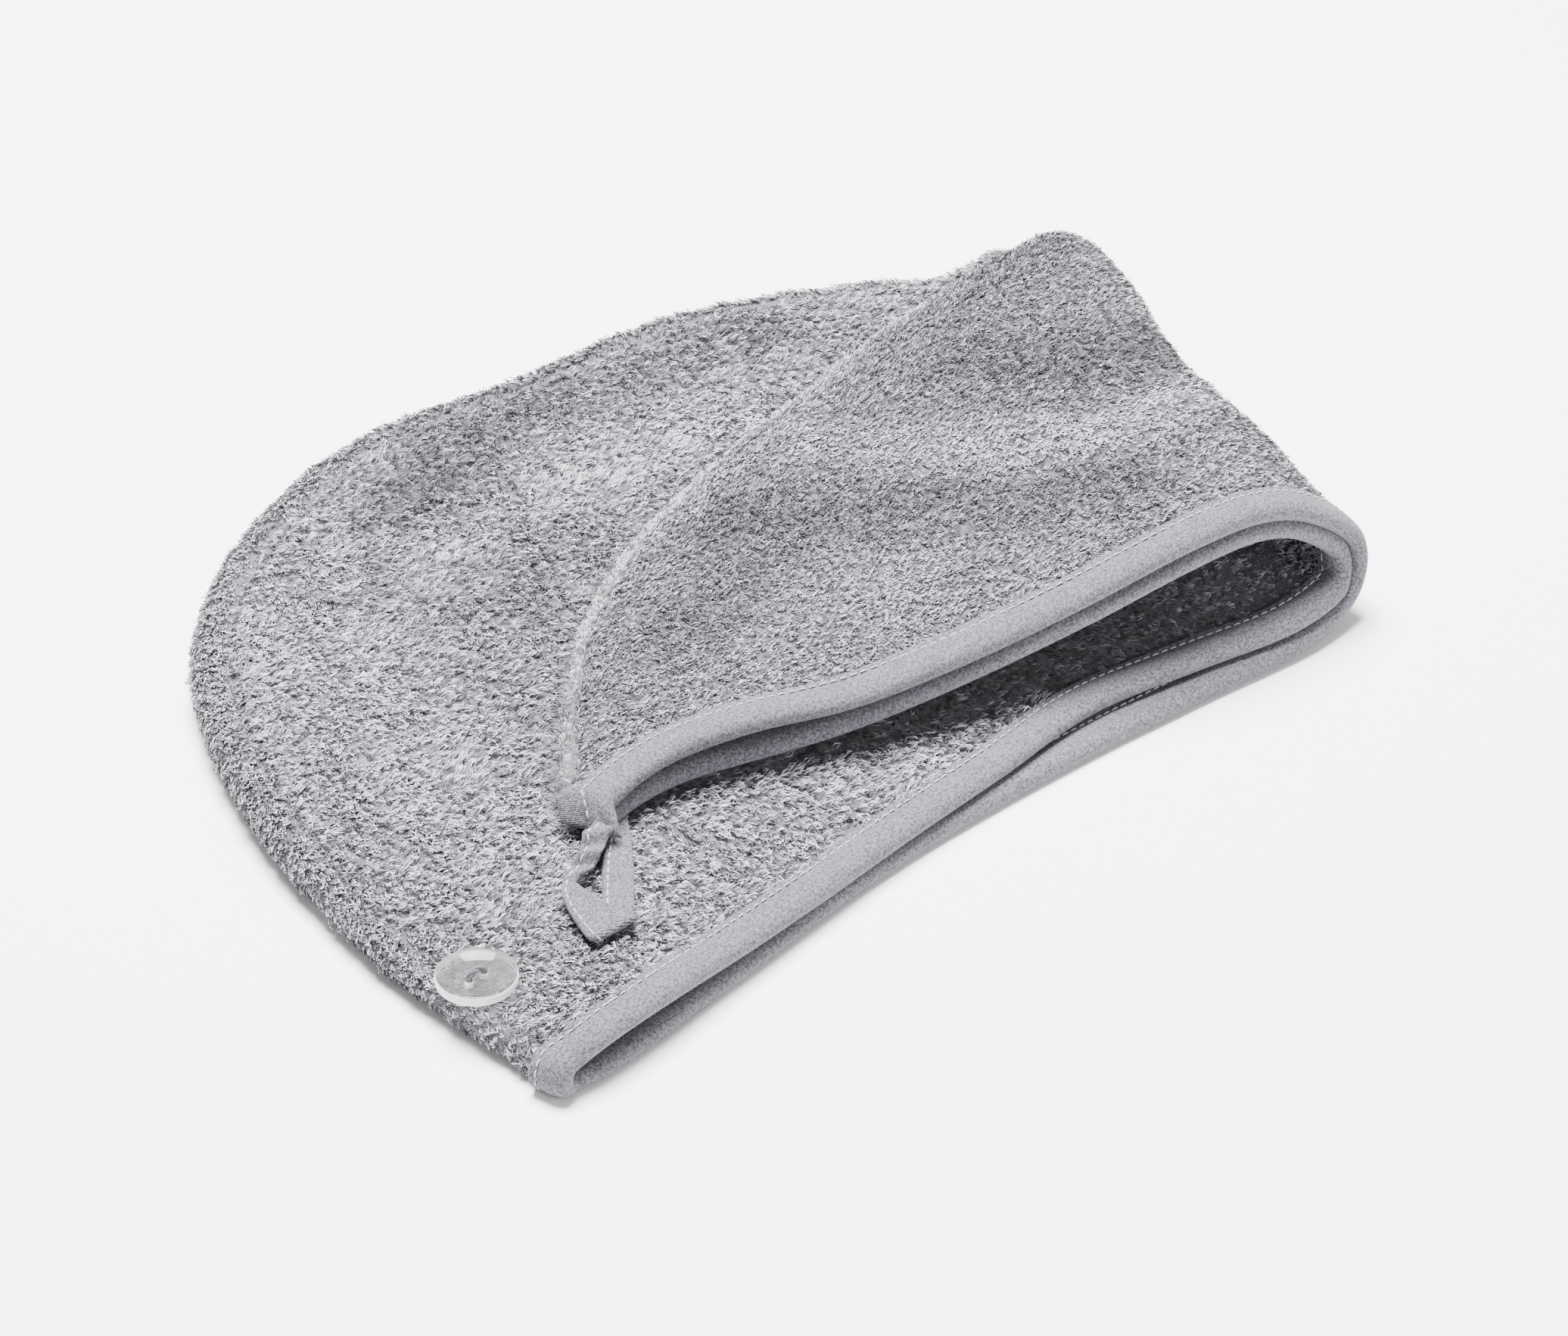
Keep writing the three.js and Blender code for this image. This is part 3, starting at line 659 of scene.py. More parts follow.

# The ground cloth: how deep its two faces lie in the terry as shares of its thickness,
# its shade, which is dark as painted shade in the gaps between loops, its sections, its
# stations across the flat and over the rolled edge, and its lumps as heights, wavelengths
# and seeds
GROUND_OUTER = 0.34
GROUND_INNER = 0.70
GROUND_SHADE = 0.10
GROUND_ROWS = 169
GROUND_FLAT = 30
GROUND_ROLL = 8
GROUND_LUMPS = ((0.0005, 0.022, 1), (0.0003, 0.009, 3))


def build_panel(context, side):
    """The ground cloth of one panel, under its pile: a closed thin shell."""
    cloth = Cloth(context.scene.towel_sizes)
    u = np.linspace(0, LAST_SECTION, GROUND_ROWS)
    d = cloth.stations(u, cloth.inset(u, side), GROUND_FLAT, GROUND_ROLL)
    skin, _ = ground_surface(cloth, side, 1, u, d)
    lining, _ = ground_surface(cloth, side, -1, u, d)
    ring = np.concatenate([skin, lining[:, ::-1]], 1)
    rows, columns = ring.shape[:2]
    quads = grid_quads(rows, columns, closed=True)
    half = columns // 2
    caps = []
    for first in (0, (rows - 1) * columns):
        j = np.arange(half - 1)
        cap = np.stack([j, columns - 1 - j, columns - 2 - j, j + 1], -1) + first
        caps.append(cap if first == 0 else cap[:, ::-1])
    quads = np.concatenate([quads, *caps])
    if side > 0:
        quads = quads[:, ::-1]
    # The ground cloth takes the dark ground shade: painted shade in the gaps between the loops.
    shades = np.full(rows * columns, GROUND_SHADE)
    name = PANEL_NAMES[side].replace("panel", "ground")
    piece = add_mesh(name, ring, quads, shades=shades)
    finish_piece(
        piece, terry_material(context.scene.towel_colours), [PANEL_NAMES[side]]
    )


# Pile fields: panel, face (1 outer, -1 lining), first and last section, first and last
# share across, loops for each square metre, loop length, loop height, pile heading in
# degrees in plan, how far the heading wanders, how much each loop strays
PILE_FIELDS = {
    "pile_hood_corner": (1, 1, 0.0, 3.6, 0.0, 1.0, 8.6e5, 0.0028, 0.0017, -62, 45, 22),
    "pile_hood_left": (1, 1, 3.6, 5.6, 0.0, 1.0, 7.5e5, 0.0030, 0.0016, -62, 45, 22),
    "pile_hood_middle": (1, 1, 5.6, 8.2, 0.0, 1.0, 7.0e5, 0.0030, 0.0016, -62, 45, 22),
    "pile_hood_fold": (1, 1, 8.2, 9.7, 0.35, 1.0, 6.8e5, 0.0028, 0.0015, -62, 45, 22),
    "pile_hood_wall": (1, 1, 0.0, 4.5, 0.86, 1.0, 6.0e5, 0.0028, 0.0015, -62, 45, 30),
    "pile_fold_rim": (1, 1, 9.7, 12.6, 0.80, 1.0, 6.5e5, 0.0028, 0.0014, -62, 45, 30),
    "pile_fold_inside": (1, 1, 8.2, 12.6, 0.0, 0.35, 7.0e5, 0.0026, 0.0014, -62, 45, 22),
    "pile_tail_under": (1, 1, 12.6, 20.9, 0.0, 1.0, 0.3e5, 0.0028, 0.0014, -62, 40, 35),
    "pile_flap_fold": (-1, 1, 9.4, 13.0, 0.0, 1.0, 1.1e6, 0.0020, 0.0011, -84, 18, 17),
    "pile_flap_middle": (-1, 1, 13.0, 15.6, 0.0, 1.0, 1.2e6, 0.0020, 0.0011, -84, 18, 17),
    "pile_flap_tip": (-1, 1, 15.6, 20.9, 0.0, 1.0, 1.2e6, 0.0020, 0.0011, -84, 20, 18),
    "pile_floor_edge": (-1, 1, 0.0, 9.4, 0.93, 1.0, 3.8e5, 0.0026, 0.0012, -62, 40, 35),
    "pile_floor_corner": (-1, 1, 0.0, 4.0, 0.90, 1.0, 6.0e5, 0.0026, 0.0012, -62, 40, 35),
    "pile_lining_lower": (-1, -1, 0.0, 12.0, 0.0, 0.2, 2.8e5, 0.0024, 0.0010, -62, 50, 40),
    "pile_lining_upper": (1, -1, 0.0, 12.0, 0.0, 0.15, 1.5e5, 0.0024, 0.0010, -62, 50, 40),
    "pile_lining_tail": (-1, -1, 14.0, 20.9, 0.0, 0.4, 1.4e5, 0.0022, 0.0010, -62, 50, 40),
}

# Shape of one loop of yarn, the full one on the upper panel's outer face and the fine one
# on the other faces: way along its lean, way to the side and height, as shares of its
# length, its spread and its height. The last line says how far the three stray.
LOOP_SHAPE = np.array([
    (0.00, -0.50, -0.15),
    (0.50, -0.60, 0.85),
    (0.97, 0.00, 0.98),
    (0.52, 0.60, 0.82),
    (0.05, 0.50, -0.15),
])
FINE_LOOP = np.array([
    (0.00, -0.50, -0.10),
    (0.85, -0.50, 0.92),
    (0.95, 0.40, 0.95),
    (0.05, 0.50, -0.10),
])
LOOP_STRAY = (0.06, 0.12, 0.08)

# How a loop varies: share of its length and height, its spread in metres, how far it
# strays from upright, and how far its yarn twists
LOOP_RANGE = (0.65, 1.25)
LOOP_SPREAD = (0.0006, 0.0013)
UPRIGHT_STRAY = 0.15
YARN_TWIST = 0.45

# Wavelengths of the patches and sweeps of the heading and their share in it, of the
# tufts, and of the clumps, which are drawn out along the combed way; then how much tufts
# and clumps change the length and height of loops
PATCH_WAVE = 0.016
SWEEP_WAVE = 0.05
HEADING_SHARE = 0.6
TUFT_WAVE = 0.006
CLUMP_WAVE = 0.0019
CLUMP_STRETCH = 2.6
TUFT_LENGTH = 0.12
TUFT_HEIGHT = 0.3
CLUMP_HEIGHT = 0.3

# The rim beside the seam: its width for full and for fine loops, the way over which it
# fades, how far loops turn along it, the width where they are shorter and what they lose
# there; then the least height of any loop over the floor
RIM_BAND = 0.013
FINE_RIM_BAND = 0.008
RIM_FADE = 0.003
RIM_TURN = 0.75
RIM_SHORTENING = 0.008
RIM_LOSS = 0.3
PRESSED_HEIGHT = 0.0001

# The pressed line beside the seam: its distance for each panel, its width and depth, and
# how much it presses the loops, which also darkens them as painted shade in the line
SEAM_GROOVES = {-1: 0.0042, 1: 0.013}
GROOVE_WIDTH = 0.0012
GROOVE_DEPTH = 0.0008
GROOVE_PRESS_AND_SHADE = 0.7

# Tone of the yarn: painted shade in the deepest pressed and covered places, of the darkest
# loop, how few loops are light, and how much tufts add
PRESSED_SHADE_TONE = 0.2
DARKEST_LOOP = 0.14
TONE_POWER = 1.1
TUFT_TONE = 0.07

# The section that the fields of hood and fold end before, and the grid of ground points
# that roots are scattered over: its first place as a share of the tape's reach, rows for
# each section, columns, and the power that brings them closer together at the seam
HOOD_LAST_SECTION = 13
FIRST_ROOT_SHARE = 0.86
ROOT_ROWS = 10
ROOT_COLUMNS = 44
ROOT_CROWDING = 1.6

# Hood loops near other pieces: height under the tail and least height beside it, the gap
# and the way over which they rise, the share and the way that they still grow by, the
# distances from the tail's seam and mouth past which none stand under it, and the height
# under the button with a margin round it. Lower loops are also darker, so these heights
# paint shade under and beside the tail and under the button, and the share and the way
# that they still grow by make a wider band of painted shade beside the tail
UNDER_TAIL = 0.3
BESIDE_TAIL = 0.2
TAIL_GAP = 0.0025
TAIL_RISE = 0.004
TAIL_SHADE_SHARE = 0.35
TAIL_SHADE_REACH = 0.022
DEEP_FROM_SEAM = 0.018
DEEP_FROM_MOUTH = 0.075
BUTTON_MARGIN = 0.0008
UNDER_BUTTON = 0.5


def groove(side, from_seam):
    """Share of the pressed line that runs beside the seam at a place."""
    return np.exp(-(((from_seam - SEAM_GROOVES[side]) / GROOVE_WIDTH) ** 2))


def nearest(points, line):
    """Distance in plan from points to a line of points."""
    gap = np.full(len(points), FAR)
    for a, b in zip(line[:-1, :2], line[1:, :2]):
        way = b - a
        t = np.clip(((points[:, :2] - a) @ way) / max(way @ way, TINY), 0, 1)
        gap = np.minimum(gap, np.linalg.norm(points[:, :2] - a - t[:, None] * way, axis=1))
    return gap


def inside(points, outline):
    """Which points lie inside a closed outline in plan."""
    found = np.zeros(len(points), bool)
    for a, b in zip(outline[:, :2], np.roll(outline[:, :2], -1, axis=0)):
        crosses = (a[1] > points[:, 1]) != (b[1] > points[:, 1])
        rise = b[1] - a[1] if b[1] != a[1] else TINY
        found ^= crosses & (
            points[:, 0] < a[0] + (b[0] - a[0]) * (points[:, 1] - a[1]) / rise
        )
    return found


def hood_cover(root, cloth):
    """How tall the hood's loops may stand beside, under and away from other pieces, which also
    sets how much painted shade they get.
    """
    u = np.linspace(12, LAST_SECTION, 60)
    mouth = cloth.outside(u, np.zeros_like(u)) + cloth.origin
    seam = cloth.outside(u, np.ones_like(u)) + cloth.origin
    under = inside(root, np.concatenate([mouth, seam[::-1]]))
    beside = nearest(root, seam)
    edge = smooth((beside - TAIL_GAP) / TAIL_RISE)
    edge = edge * (1 - TAIL_SHADE_SHARE + TAIL_SHADE_SHARE * smooth(beside / TAIL_SHADE_REACH))
    height = np.where(under, UNDER_TAIL, BESIDE_TAIL + (1 - BESIDE_TAIL) * edge)
    deep = under & (beside > DEEP_FROM_SEAM) & (nearest(root, mouth) > DEEP_FROM_MOUTH)
    button = button_place(cloth)
    away = np.linalg.norm(root[:, :2] - button[:2], axis=1) - cloth.s.button / 2
    height = height * np.where(away < BUTTON_MARGIN, UNDER_BUTTON, 1)
    return np.where(deep, 0, height)


def ground_surface(cloth, side, face, u, d):
    """The face that the pile stands on, and the way out of the cloth there."""
    outer, inner = cloth.faces(np.broadcast_to(u[:, None], d.shape), d, side)
    out = unit(outer - inner) * face
    level = GROUND_OUTER if face > 0 else GROUND_INNER
    lumps = sum(
        height * waves(outer[..., :2], wavelength, SEED + seed * side)
        for height, wavelength, seed in GROUND_LUMPS
    )
    if face > 0:
        lumps -= GROOVE_DEPTH * groove(side, cloth.span(u)[:, None] - d)
    return outer + level * (inner - outer) + lumps[..., None] * out, out


def scattered(ground, out, from_seam, nap_and_painted_light, density, rng):
    """Roots of loops over a grid of ground points, with their frames."""
    a, b, c, e = ground[:-1, :-1], ground[1:, :-1], ground[:-1, 1:], ground[1:, 1:]
    cross = np.cross(e - a, c - b)
    area = np.linalg.norm(cross, axis=-1) / 2
    normal = unit(cross)
    normal = normal * np.where((normal * out[:-1, :-1]).sum(-1, keepdims=True) < 0, -1, 1)
    counts = rng.poisson((area * density).ravel())
    cell = np.repeat(np.arange(len(counts)), counts)
    s, t = rng.random((2, len(cell)))[..., None]

    def across_cell(grid):
        corners = [
            part.reshape(len(counts), -1)[cell]
            for part in (grid[:-1, :-1], grid[1:, :-1], grid[:-1, 1:], grid[1:, 1:])
        ]
        return (
            corners[0] * (1 - s) * (1 - t) + corners[1] * s * (1 - t)
            + corners[2] * (1 - s) * t + corners[3] * s * t
        )

    root = across_cell(ground)
    rim, nap_and_painted_light = across_cell(np.stack([from_seam, nap_and_painted_light], -1)).T
    along = unit((b - a).reshape(len(counts), 3)[cell])
    return root, normal.reshape(-1, 3)[cell], along, rim, nap_and_painted_light


def build_pile(context, name):
    """Loops of yarn standing on a field of one face of a panel."""
    side, face, u0, u1, v0, v1, density, reach, height, heading, wander, stray = (
        PILE_FIELDS[name]
    )
    cloth = Cloth(context.scene.towel_sizes)
    rng = np.random.default_rng([SEED, *name.encode()])
    u = np.linspace(u0, u1, max(int((u1 - u0) * ROOT_ROWS), 4))
    inset = cloth.inset(u, side)
    span = cloth.span(u)
    first = inset + cloth.binding_reach * FIRST_ROOT_SHARE
    places = 1 - (1 - np.linspace(0, 1, ROOT_COLUMNS)) ** ROOT_CROWDING
    shares = v0 + (v1 - v0) * places
    d = first[:, None] + (span - first)[:, None] * shares
    ground, out = ground_surface(cloth, side, face, u, d)
    # Painted highlight and painted shade along the nap lines, on outer faces only.
    nap_and_painted_light = near_lines(NAP_AND_PAINTED_LIGHT_LINES[side], u[:, None], d / span[:, None]) * (face > 0)
    found = scattered(ground, out, span[:, None] - d, nap_and_painted_light, density, rng)
    # Pressed loops are shorter and, through their tone, darker: painted shade in the line.
    pressed_and_shaded = 1 - GROOVE_PRESS_AND_SHADE * groove(side, found[3])
    if side > 0 and face > 0 and u1 < HOOD_LAST_SECTION:
        tall = hood_cover(found[0], cloth)
        found = [part[tall > 0] for part in found]
        tall = (tall * pressed_and_shaded)[tall > 0]
    else:
        tall = pressed_and_shaded
    way = (heading, wander, stray)
    shape = LOOP_SHAPE if side > 0 and face > 0 else FINE_LOOP
    return add_pile(context, name, found, tall, shape, reach, height, way, face, rng)


def add_pile(context, name, found, tall, loop, reach, height, way, face, rng):
    """Ribbons of yarn bent into loops on the roots that were found."""
    sizes = context.scene.towel_sizes
    root, normal, along, rim, nap_and_painted_light = found
    heading, wander, stray = way
    total = len(root)
    plan = root[:, :2]
    up = unit(normal + UPRIGHT_STRAY * rng.normal(size=(total, 3)))
    patches = waves(plan, PATCH_WAVE, SEED + 11) * HEADING_SHARE
    patches += waves(plan, SWEEP_WAVE, SEED + 12) * HEADING_SHARE
    angle = np.radians(heading + wander * patches + stray * rng.normal(size=total))
    lean = np.stack([np.cos(angle), np.sin(angle), np.zeros(total)], -1)
    if face > 0:
        reaches = RIM_BAND if loop is LOOP_SHAPE else FINE_RIM_BAND
        band = smooth((reaches - rim) / RIM_FADE)[:, None]
        lean = lean * (1 - RIM_TURN * band) - along * RIM_TURN * band
    lean = unit(lean - (lean * up).sum(-1, keepdims=True) * up)
    aside = np.cross(up, lean)
    tufts = waves(plan, TUFT_WAVE, SEED + 13, 14)
    comb = np.radians(heading)
    ahead = np.array([math.cos(comb), math.sin(comb)])
    combed = np.stack([plan @ ahead / CLUMP_STRETCH, plan @ [-ahead[1], ahead[0]]], -1)
    clumps = waves(combed, CLUMP_WAVE, SEED + 14, 24)
    at_rim = 1 - RIM_LOSS + RIM_LOSS * smooth(rim / RIM_SHORTENING)
    long = reach * rng.uniform(*LOOP_RANGE, total) * (1 + TUFT_LENGTH * tufts) * at_rim
    high = height * rng.uniform(*LOOP_RANGE, total) * at_rim * tall
    high = high * (1 + TUFT_HEIGHT * tufts + CLUMP_HEIGHT * clumps)
    wide = rng.uniform(*LOOP_SPREAD, total)
    steps = len(loop)
    shape = loop[None] + rng.normal(size=(total, steps, 3)) * LOOP_STRAY
    line = (
        root[:, None]
        + lean[:, None] * (shape[..., :1] * long[:, None, None])
        + aside[:, None] * (shape[..., 1:2] * wide[:, None, None])
        + up[:, None] * (shape[..., 2:] * high[:, None, None])
    )
    run = np.gradient(line, axis=1)
    broad = np.cross(run, up[:, None] + YARN_TWIST * rng.normal(size=(total, 1, 3)))
    broad = unit(broad) * (sizes.yarn if loop is LOOP_SHAPE else sizes.fine_yarn) / 2
    points = np.stack([line - broad, line + broad], 2).reshape(-1, 3)
    points[:, 2] = np.maximum(points[:, 2], PRESSED_HEIGHT)
    base = np.arange(total)[:, None] * (2 * steps)
    k = np.arange(steps - 1)[None] * 2
    quads = np.stack([base + k, base + k + 1, base + k + 3, base + k + 2], -1)
    light = rng.random((total, 1)) ** TONE_POWER
    # Painted shade: each loop's yarn darkens toward its root, and loops that are pressed or
    # covered by other pieces darken with their height; the nap lines add painted highlight and
    # shade.
    depth = PRESSED_SHADE_TONE + (1 - PRESSED_SHADE_TONE) * tall[:, None]
    depth = np.clip(loop[:, 2], 0, 1)[None] * depth
    tone = depth * (DARKEST_LOOP + (1 - DARKEST_LOOP) * light + nap_and_painted_light[:, None])
    tone = tone * (1 + clumps[:, None]) + TUFT_TONE * tufts[:, None]
    shades = np.repeat(np.clip(tone, 0, 1), 2, axis=1)
    piece = add_mesh(name, points, quads.reshape(-1, 4), shades=shades)
    finish_piece(piece, terry_material(context.scene.towel_colours))
    return piece


# The closing at the button corner: rows and columns, how far it lies in from both layers
# as a share of the way between them, how far it bulges, and its loops
CORNER_GRID = (8, 14)
CORNER_INSET = 0.1
CORNER_BULGE = 0.0013
CORNER_DENSITY = 1.2e6
CORNER_LOOP = (0.0022, 0.0013)
CORNER_WAY = (-62, 45, 40)
CORNER_FROM_SEAM = 0.05


def build_corner(context):
    """Closes the seam between the two panels at the button corner, with its own loops."""
    cloth = Cloth(context.scene.towel_sizes)
    rows, columns = CORNER_GRID
    u = np.zeros((1, columns))
    d = np.linspace(cloth.binding_reach * 0.5, cloth.span(u)[0, 0], columns)[None]
    low, _ = cloth.faces(u, d, -1)
    high, _ = cloth.faces(u, d, 1)
    beyond = cloth.faces(u + 0.1, d, 1)[0] - high
    out = -unit(beyond * [1, 1, 0])[0]
    k = np.linspace(0, 1, rows)[:, None, None]
    inset = CORNER_INSET * (high[0] - low[0])
    ground = (low[0] + inset) * (1 - k) + (high[0] - inset) * k
    ground = ground + out * CORNER_BULGE * np.sin(math.pi * k)
    # The closing takes the same dark ground shade, painted shade between its loops.
    shades = np.full(rows * columns, GROUND_SHADE)
    closing = add_mesh("corner_closing", ground, grid_quads(rows, columns), shades=shades)
    finish_piece(closing, terry_material(context.scene.towel_colours))
    rng = np.random.default_rng(SEED + 5)
    outs = np.broadcast_to(out, ground.shape)
    from_seam = np.full(ground.shape[:2], CORNER_FROM_SEAM)
    found = scattered(ground, outs, from_seam, 0 * from_seam, CORNER_DENSITY, rng)
    tall = np.ones(len(found[0]))
    add_pile(
        context, "pile_corner", found, tall, LOOP_SHAPE, *CORNER_LOOP, CORNER_WAY, 1, rng
    )


# Steps of the tape: where it runs on past the terry, round the corner, and for each
# section
RUN_ON_STEPS = 14
CORNER_STEPS = 16
TAPE_STEPS = 12

# Points of the tape's section along a face and round the nose, and the way from the
# bottom of its slot to the next point
FACE_POINTS = 9
NOSE_POINTS = 11
SLOT_STEP = 0.003

# The closed ends: how much thinner they get, and how fully and how late they round off
END_THINNING = 0.4
END_ROUND = 0.9
END_POWER = 6

# How fast and how far the slot shuts at an end, and by what it reaches past the slot
SHUT_RATE = 4
SHUT_SHARE = 0.98
SLOT_MARGIN = 1.1

# The spread end past the stitches: how soon it has spread and how much thinner it gets
SPREAD_AFTER = 0.3
SPREAD_THINNING = 0.6

# Relief of the tape: the line pressed by the stitches and its puckers, the fullness
# between that line and the nose, how far it wanders, the gathers at its ends and the
# splice seam, each with its height, width or start; then how far out from the middle, in
# shares of half its thickness, the relief and the wobble begin
SUNK_DEPTH = 0.00042
PUCKER_HEIGHT = 0.00008
SUNK_WIDTH = 0.0011
FULLNESS = 0.0005
FULLNESS_START = 0.001
WOBBLE = 0.00022
WANDER = 0.00025
GATHER_HEIGHT = 0.0005
GATHER_WIDTH = 0.0007
SPLICE_DEPTH = 0.0006
SPLICE_WIDTH = 0.0006
RELIEF_FROM = 0.98
WOBBLE_FROM = 0.5


def run_on(middle, inward, up, way, drop):
    """Frames that carry the tape on past the terry, farthest first, and how far each
    has closed; way is the whole reach, and drop is how far it sinks."""
    past = np.linspace(1, 0, RUN_ON_STEPS, endpoint=False)
    line = middle + way * past[:, None]
    line[:, 2] -= drop * past**1.5
    along = unit(np.gradient(line, axis=0))
    tilted = unit(up - (along @ up)[:, None] * along)
    return [line, np.repeat(inward[None], len(past), 0), tilted], past


def tape_frames(cloth):
    """Frames along the tape, from its end past the lower tip round the corner to its end
    past the upper tip, with how far each is closed towards an end."""
    s = cloth.s
    u = np.linspace(0, LAST_SECTION, LAST_SECTION * TAPE_STEPS + 1)
    low = [part[::-1] for part in cloth.edge(u, -1)]
    middle, inward, up = cloth.edge(u, 1)
    high = [middle, inward, -up]
    first = [part[-1] for part in low]
    last = [part[0] for part in high]
    centre = (first[0] + last[0]) / 2
    arm = (last[0] - first[0]) / 2
    radius = np.linalg.norm(arm)
    back = unit(np.cross(first[1], arm))
    turn = np.arange(1, CORNER_STEPS) / CORNER_STEPS
    angle = turn[:, None] * math.pi
    outward = -back * np.sin(angle) - arm * np.cos(angle) / radius
    corner = [
        centre + outward * radius,
        unit(first[1] * (1 - turn[:, None]) + last[1] * turn[:, None]),
        -outward,
    ]
    tip = [part[0] for part in low]
    tail = tip[0][2] - hood_height(tip[0][0], tip[0][1], cloth)
    way = unit(OUTWARD + TAPE_END_TURN * ASIDE) * s.tape_end
    lead, closed = run_on(*tip, way, TAPE_END_DROP * tail)
    tip = [part[-1] for part in high]
    way = unit(high[0][-1] - high[0][-3]) * s.tape_tuck
    tuck, closed_tuck = run_on(*tip, way, 0)
    tuck = [part[::-1] for part in tuck]
    frames = [np.concatenate(parts) for parts in zip(lead, low, corner, high, tuck)]
    open_count = 2 * len(u) + len(turn)
    closed = np.concatenate([closed, np.zeros(open_count), closed_tuck[::-1]])
    return *frames, closed


def closing(closed):
    """Share of the tape's thickness that is left where its end closes."""
    rounded = np.sqrt(1 - END_ROUND * closed**END_POWER)
    return (1 - END_THINNING * smooth(closed)) * rounded


def travelled(points):
    """Way covered along a line of points."""
    steps = np.linalg.norm(np.diff(points, axis=0), axis=1)
    return np.concatenate([[0], np.cumsum(steps)])


def tape_profile(cloth):
    """Closed section of the folded tape: x from the nose inward, y through the cloth."""
    radius = cloth.binding_thickness / 2
    slot = cloth.s.terry / 2 + cloth.s.clearance
    width = cloth.s.binding_width
    lip = cloth.s.tape / 2
    outer = []
    for x in np.linspace(width - lip, radius, FACE_POINTS):
        outer.append((x, radius))
    for angle in np.linspace(0, math.pi, NOSE_POINTS)[1:-1]:
        outer.append((radius - radius * math.sin(angle), radius * math.cos(angle)))
    for x in np.linspace(radius, width - lip, FACE_POINTS):
        outer.append((x, -radius))
    tip = [(width, -radius + lip * 0.6), (width, -slot - lip * 0.3), (width - lip, -slot)]
    inner = [(cloth.slot_depth + SLOT_STEP, -slot), (cloth.slot_depth, -slot)]
    inner += [(x, -y) for x, y in inner[::-1]]
    back = [(x, -y) for x, y in tip[::-1]]
    return np.array(outer + tip + inner + back)


def tape_sway(along):
    """Slow random waves along the tape."""
    rng = np.random.default_rng(SEED + 41)
    return sum(
        rng.uniform(0.5, 1) * np.sin(along / rng.uniform(0.004, 0.02) + rng.uniform(0, 6))
        for _ in range(7)
    ) / 4


def tape_relief(cloth, profile, along, closed):
    """Places of the tape's section at each frame, with its relief and its closed ends."""
    sizes = cloth.s
    slot = sizes.terry / 2 + sizes.clearance
    radius = cloth.binding_thickness / 2
    x, y = profile[:, 0][None], profile[:, 1][None]
    sway = tape_sway(along)[:, None]
    pitch = sizes.stitch + sizes.stitch_gap
    pucker = np.cos(2 * math.pi * along / pitch)[:, None]
    line = sizes.binding_width - STITCH_INSET
    near = np.exp(-(((x - line) / SUNK_WIDTH) ** 2))
    outer = np.abs(y) >= radius * RELIEF_FROM
    sunk = -near * (SUNK_DEPTH + PUCKER_HEIGHT * pucker) * outer
    between = np.clip((x - FULLNESS_START) / (line - FULLNESS_START), 0, 1)
    fullness = FULLNESS * np.sin(between * math.pi) * outer
    wobble = WOBBLE * sway * (np.abs(y) > radius * WOBBLE_FROM)
    gather = GATHER_HEIGHT * np.sin(x / GATHER_WIDTH + 4 * closed[:, None])
    gather = gather * smooth(closed)[:, None]
    from_splice = (along - SPLICE * along[-1]) / SPLICE_WIDTH
    splice = -SPLICE_DEPTH * np.exp(-(from_splice**2))[:, None]
    y = y + np.sign(y) * (sunk + fullness + wobble + (gather + splice) * outer)
    in_slot = np.abs(profile[:, 1]) < slot * SLOT_MARGIN
    shut = np.clip(SHUT_RATE * closed, 0, 1)[:, None] * in_slot
    y = y * closing(closed)[:, None] * (1 - SHUT_SHARE * shut)
    spread = smooth(closed * (along < along[-1] / 2) / SPREAD_AFTER)[:, None]
    past_line = np.clip((x - line) / (sizes.binding_width - line), 0, 1)
    y = y * (1 - SPREAD_THINNING * spread * past_line)
    return x + WANDER * sway + TAPE_END_FLANGE * spread * past_line, y


def build_binding(context):
    """The folded jersey tape along both mouth edges, with its stitching puckers."""
    cloth = Cloth(context.scene.towel_sizes)
    middle, inward, up, closed = tape_frames(cloth)
    along = travelled(middle)
    nose = middle - inward * cloth.nose_offset
    profile = tape_profile(cloth)
    x, y = tape_relief(cloth, profile, along, closed)
    ring = nose[:, None] + inward[:, None] * x[..., None] + up[:, None] * y[..., None]
    rows, columns = ring.shape[:2]
    quads = grid_quads(rows, columns, closed=True)
    j = np.arange(columns)
    caps = [j[None, ::-1], j[None] + (rows - 1) * columns]
    across = np.concatenate([[0], np.cumsum(np.hypot(*np.diff(profile, axis=0).T))])
    uv = np.stack(np.broadcast_arrays(along[:, None], across[None]), -1).reshape(-1, 2)
    piece = add_mesh("binding_tape", ring, quads, uv=uv)
    close_ends(piece, caps)
    finish_piece(
        piece, tape_material(context.scene.towel_colours), ["mouth_binding"]
    )


def close_ends(piece, caps):
    """Fills the two end rings of a piece and turns all its faces outward."""
    made = bmesh.new()
    made.from_mesh(piece.data)
    made.verts.ensure_lookup_table()
    for cap in caps:
        made.faces.new([made.verts[int(k)] for k in cap[0]])
    bmesh.ops.triangulate(made, faces=[f for f in made.faces if len(f.verts) > 4])
    bmesh.ops.recalc_face_normals(made, faces=made.faces)
    made.to_mesh(piece.data)
    made.free()
    smooth_faces(piece.data)


# One stitch: share of its length, share of its radius and height in thread diameters
STITCH_SHAPE = np.array([
    (0, 0.35, -0.45),
    (0.12, 0.9, -0.05),
    (0.5, 1, 0.22),
    (0.88, 0.9, -0.05),
    (1, 0.35, -0.45),
])
STITCH_SIDES = 5
STITCH_SINK = 0.0001


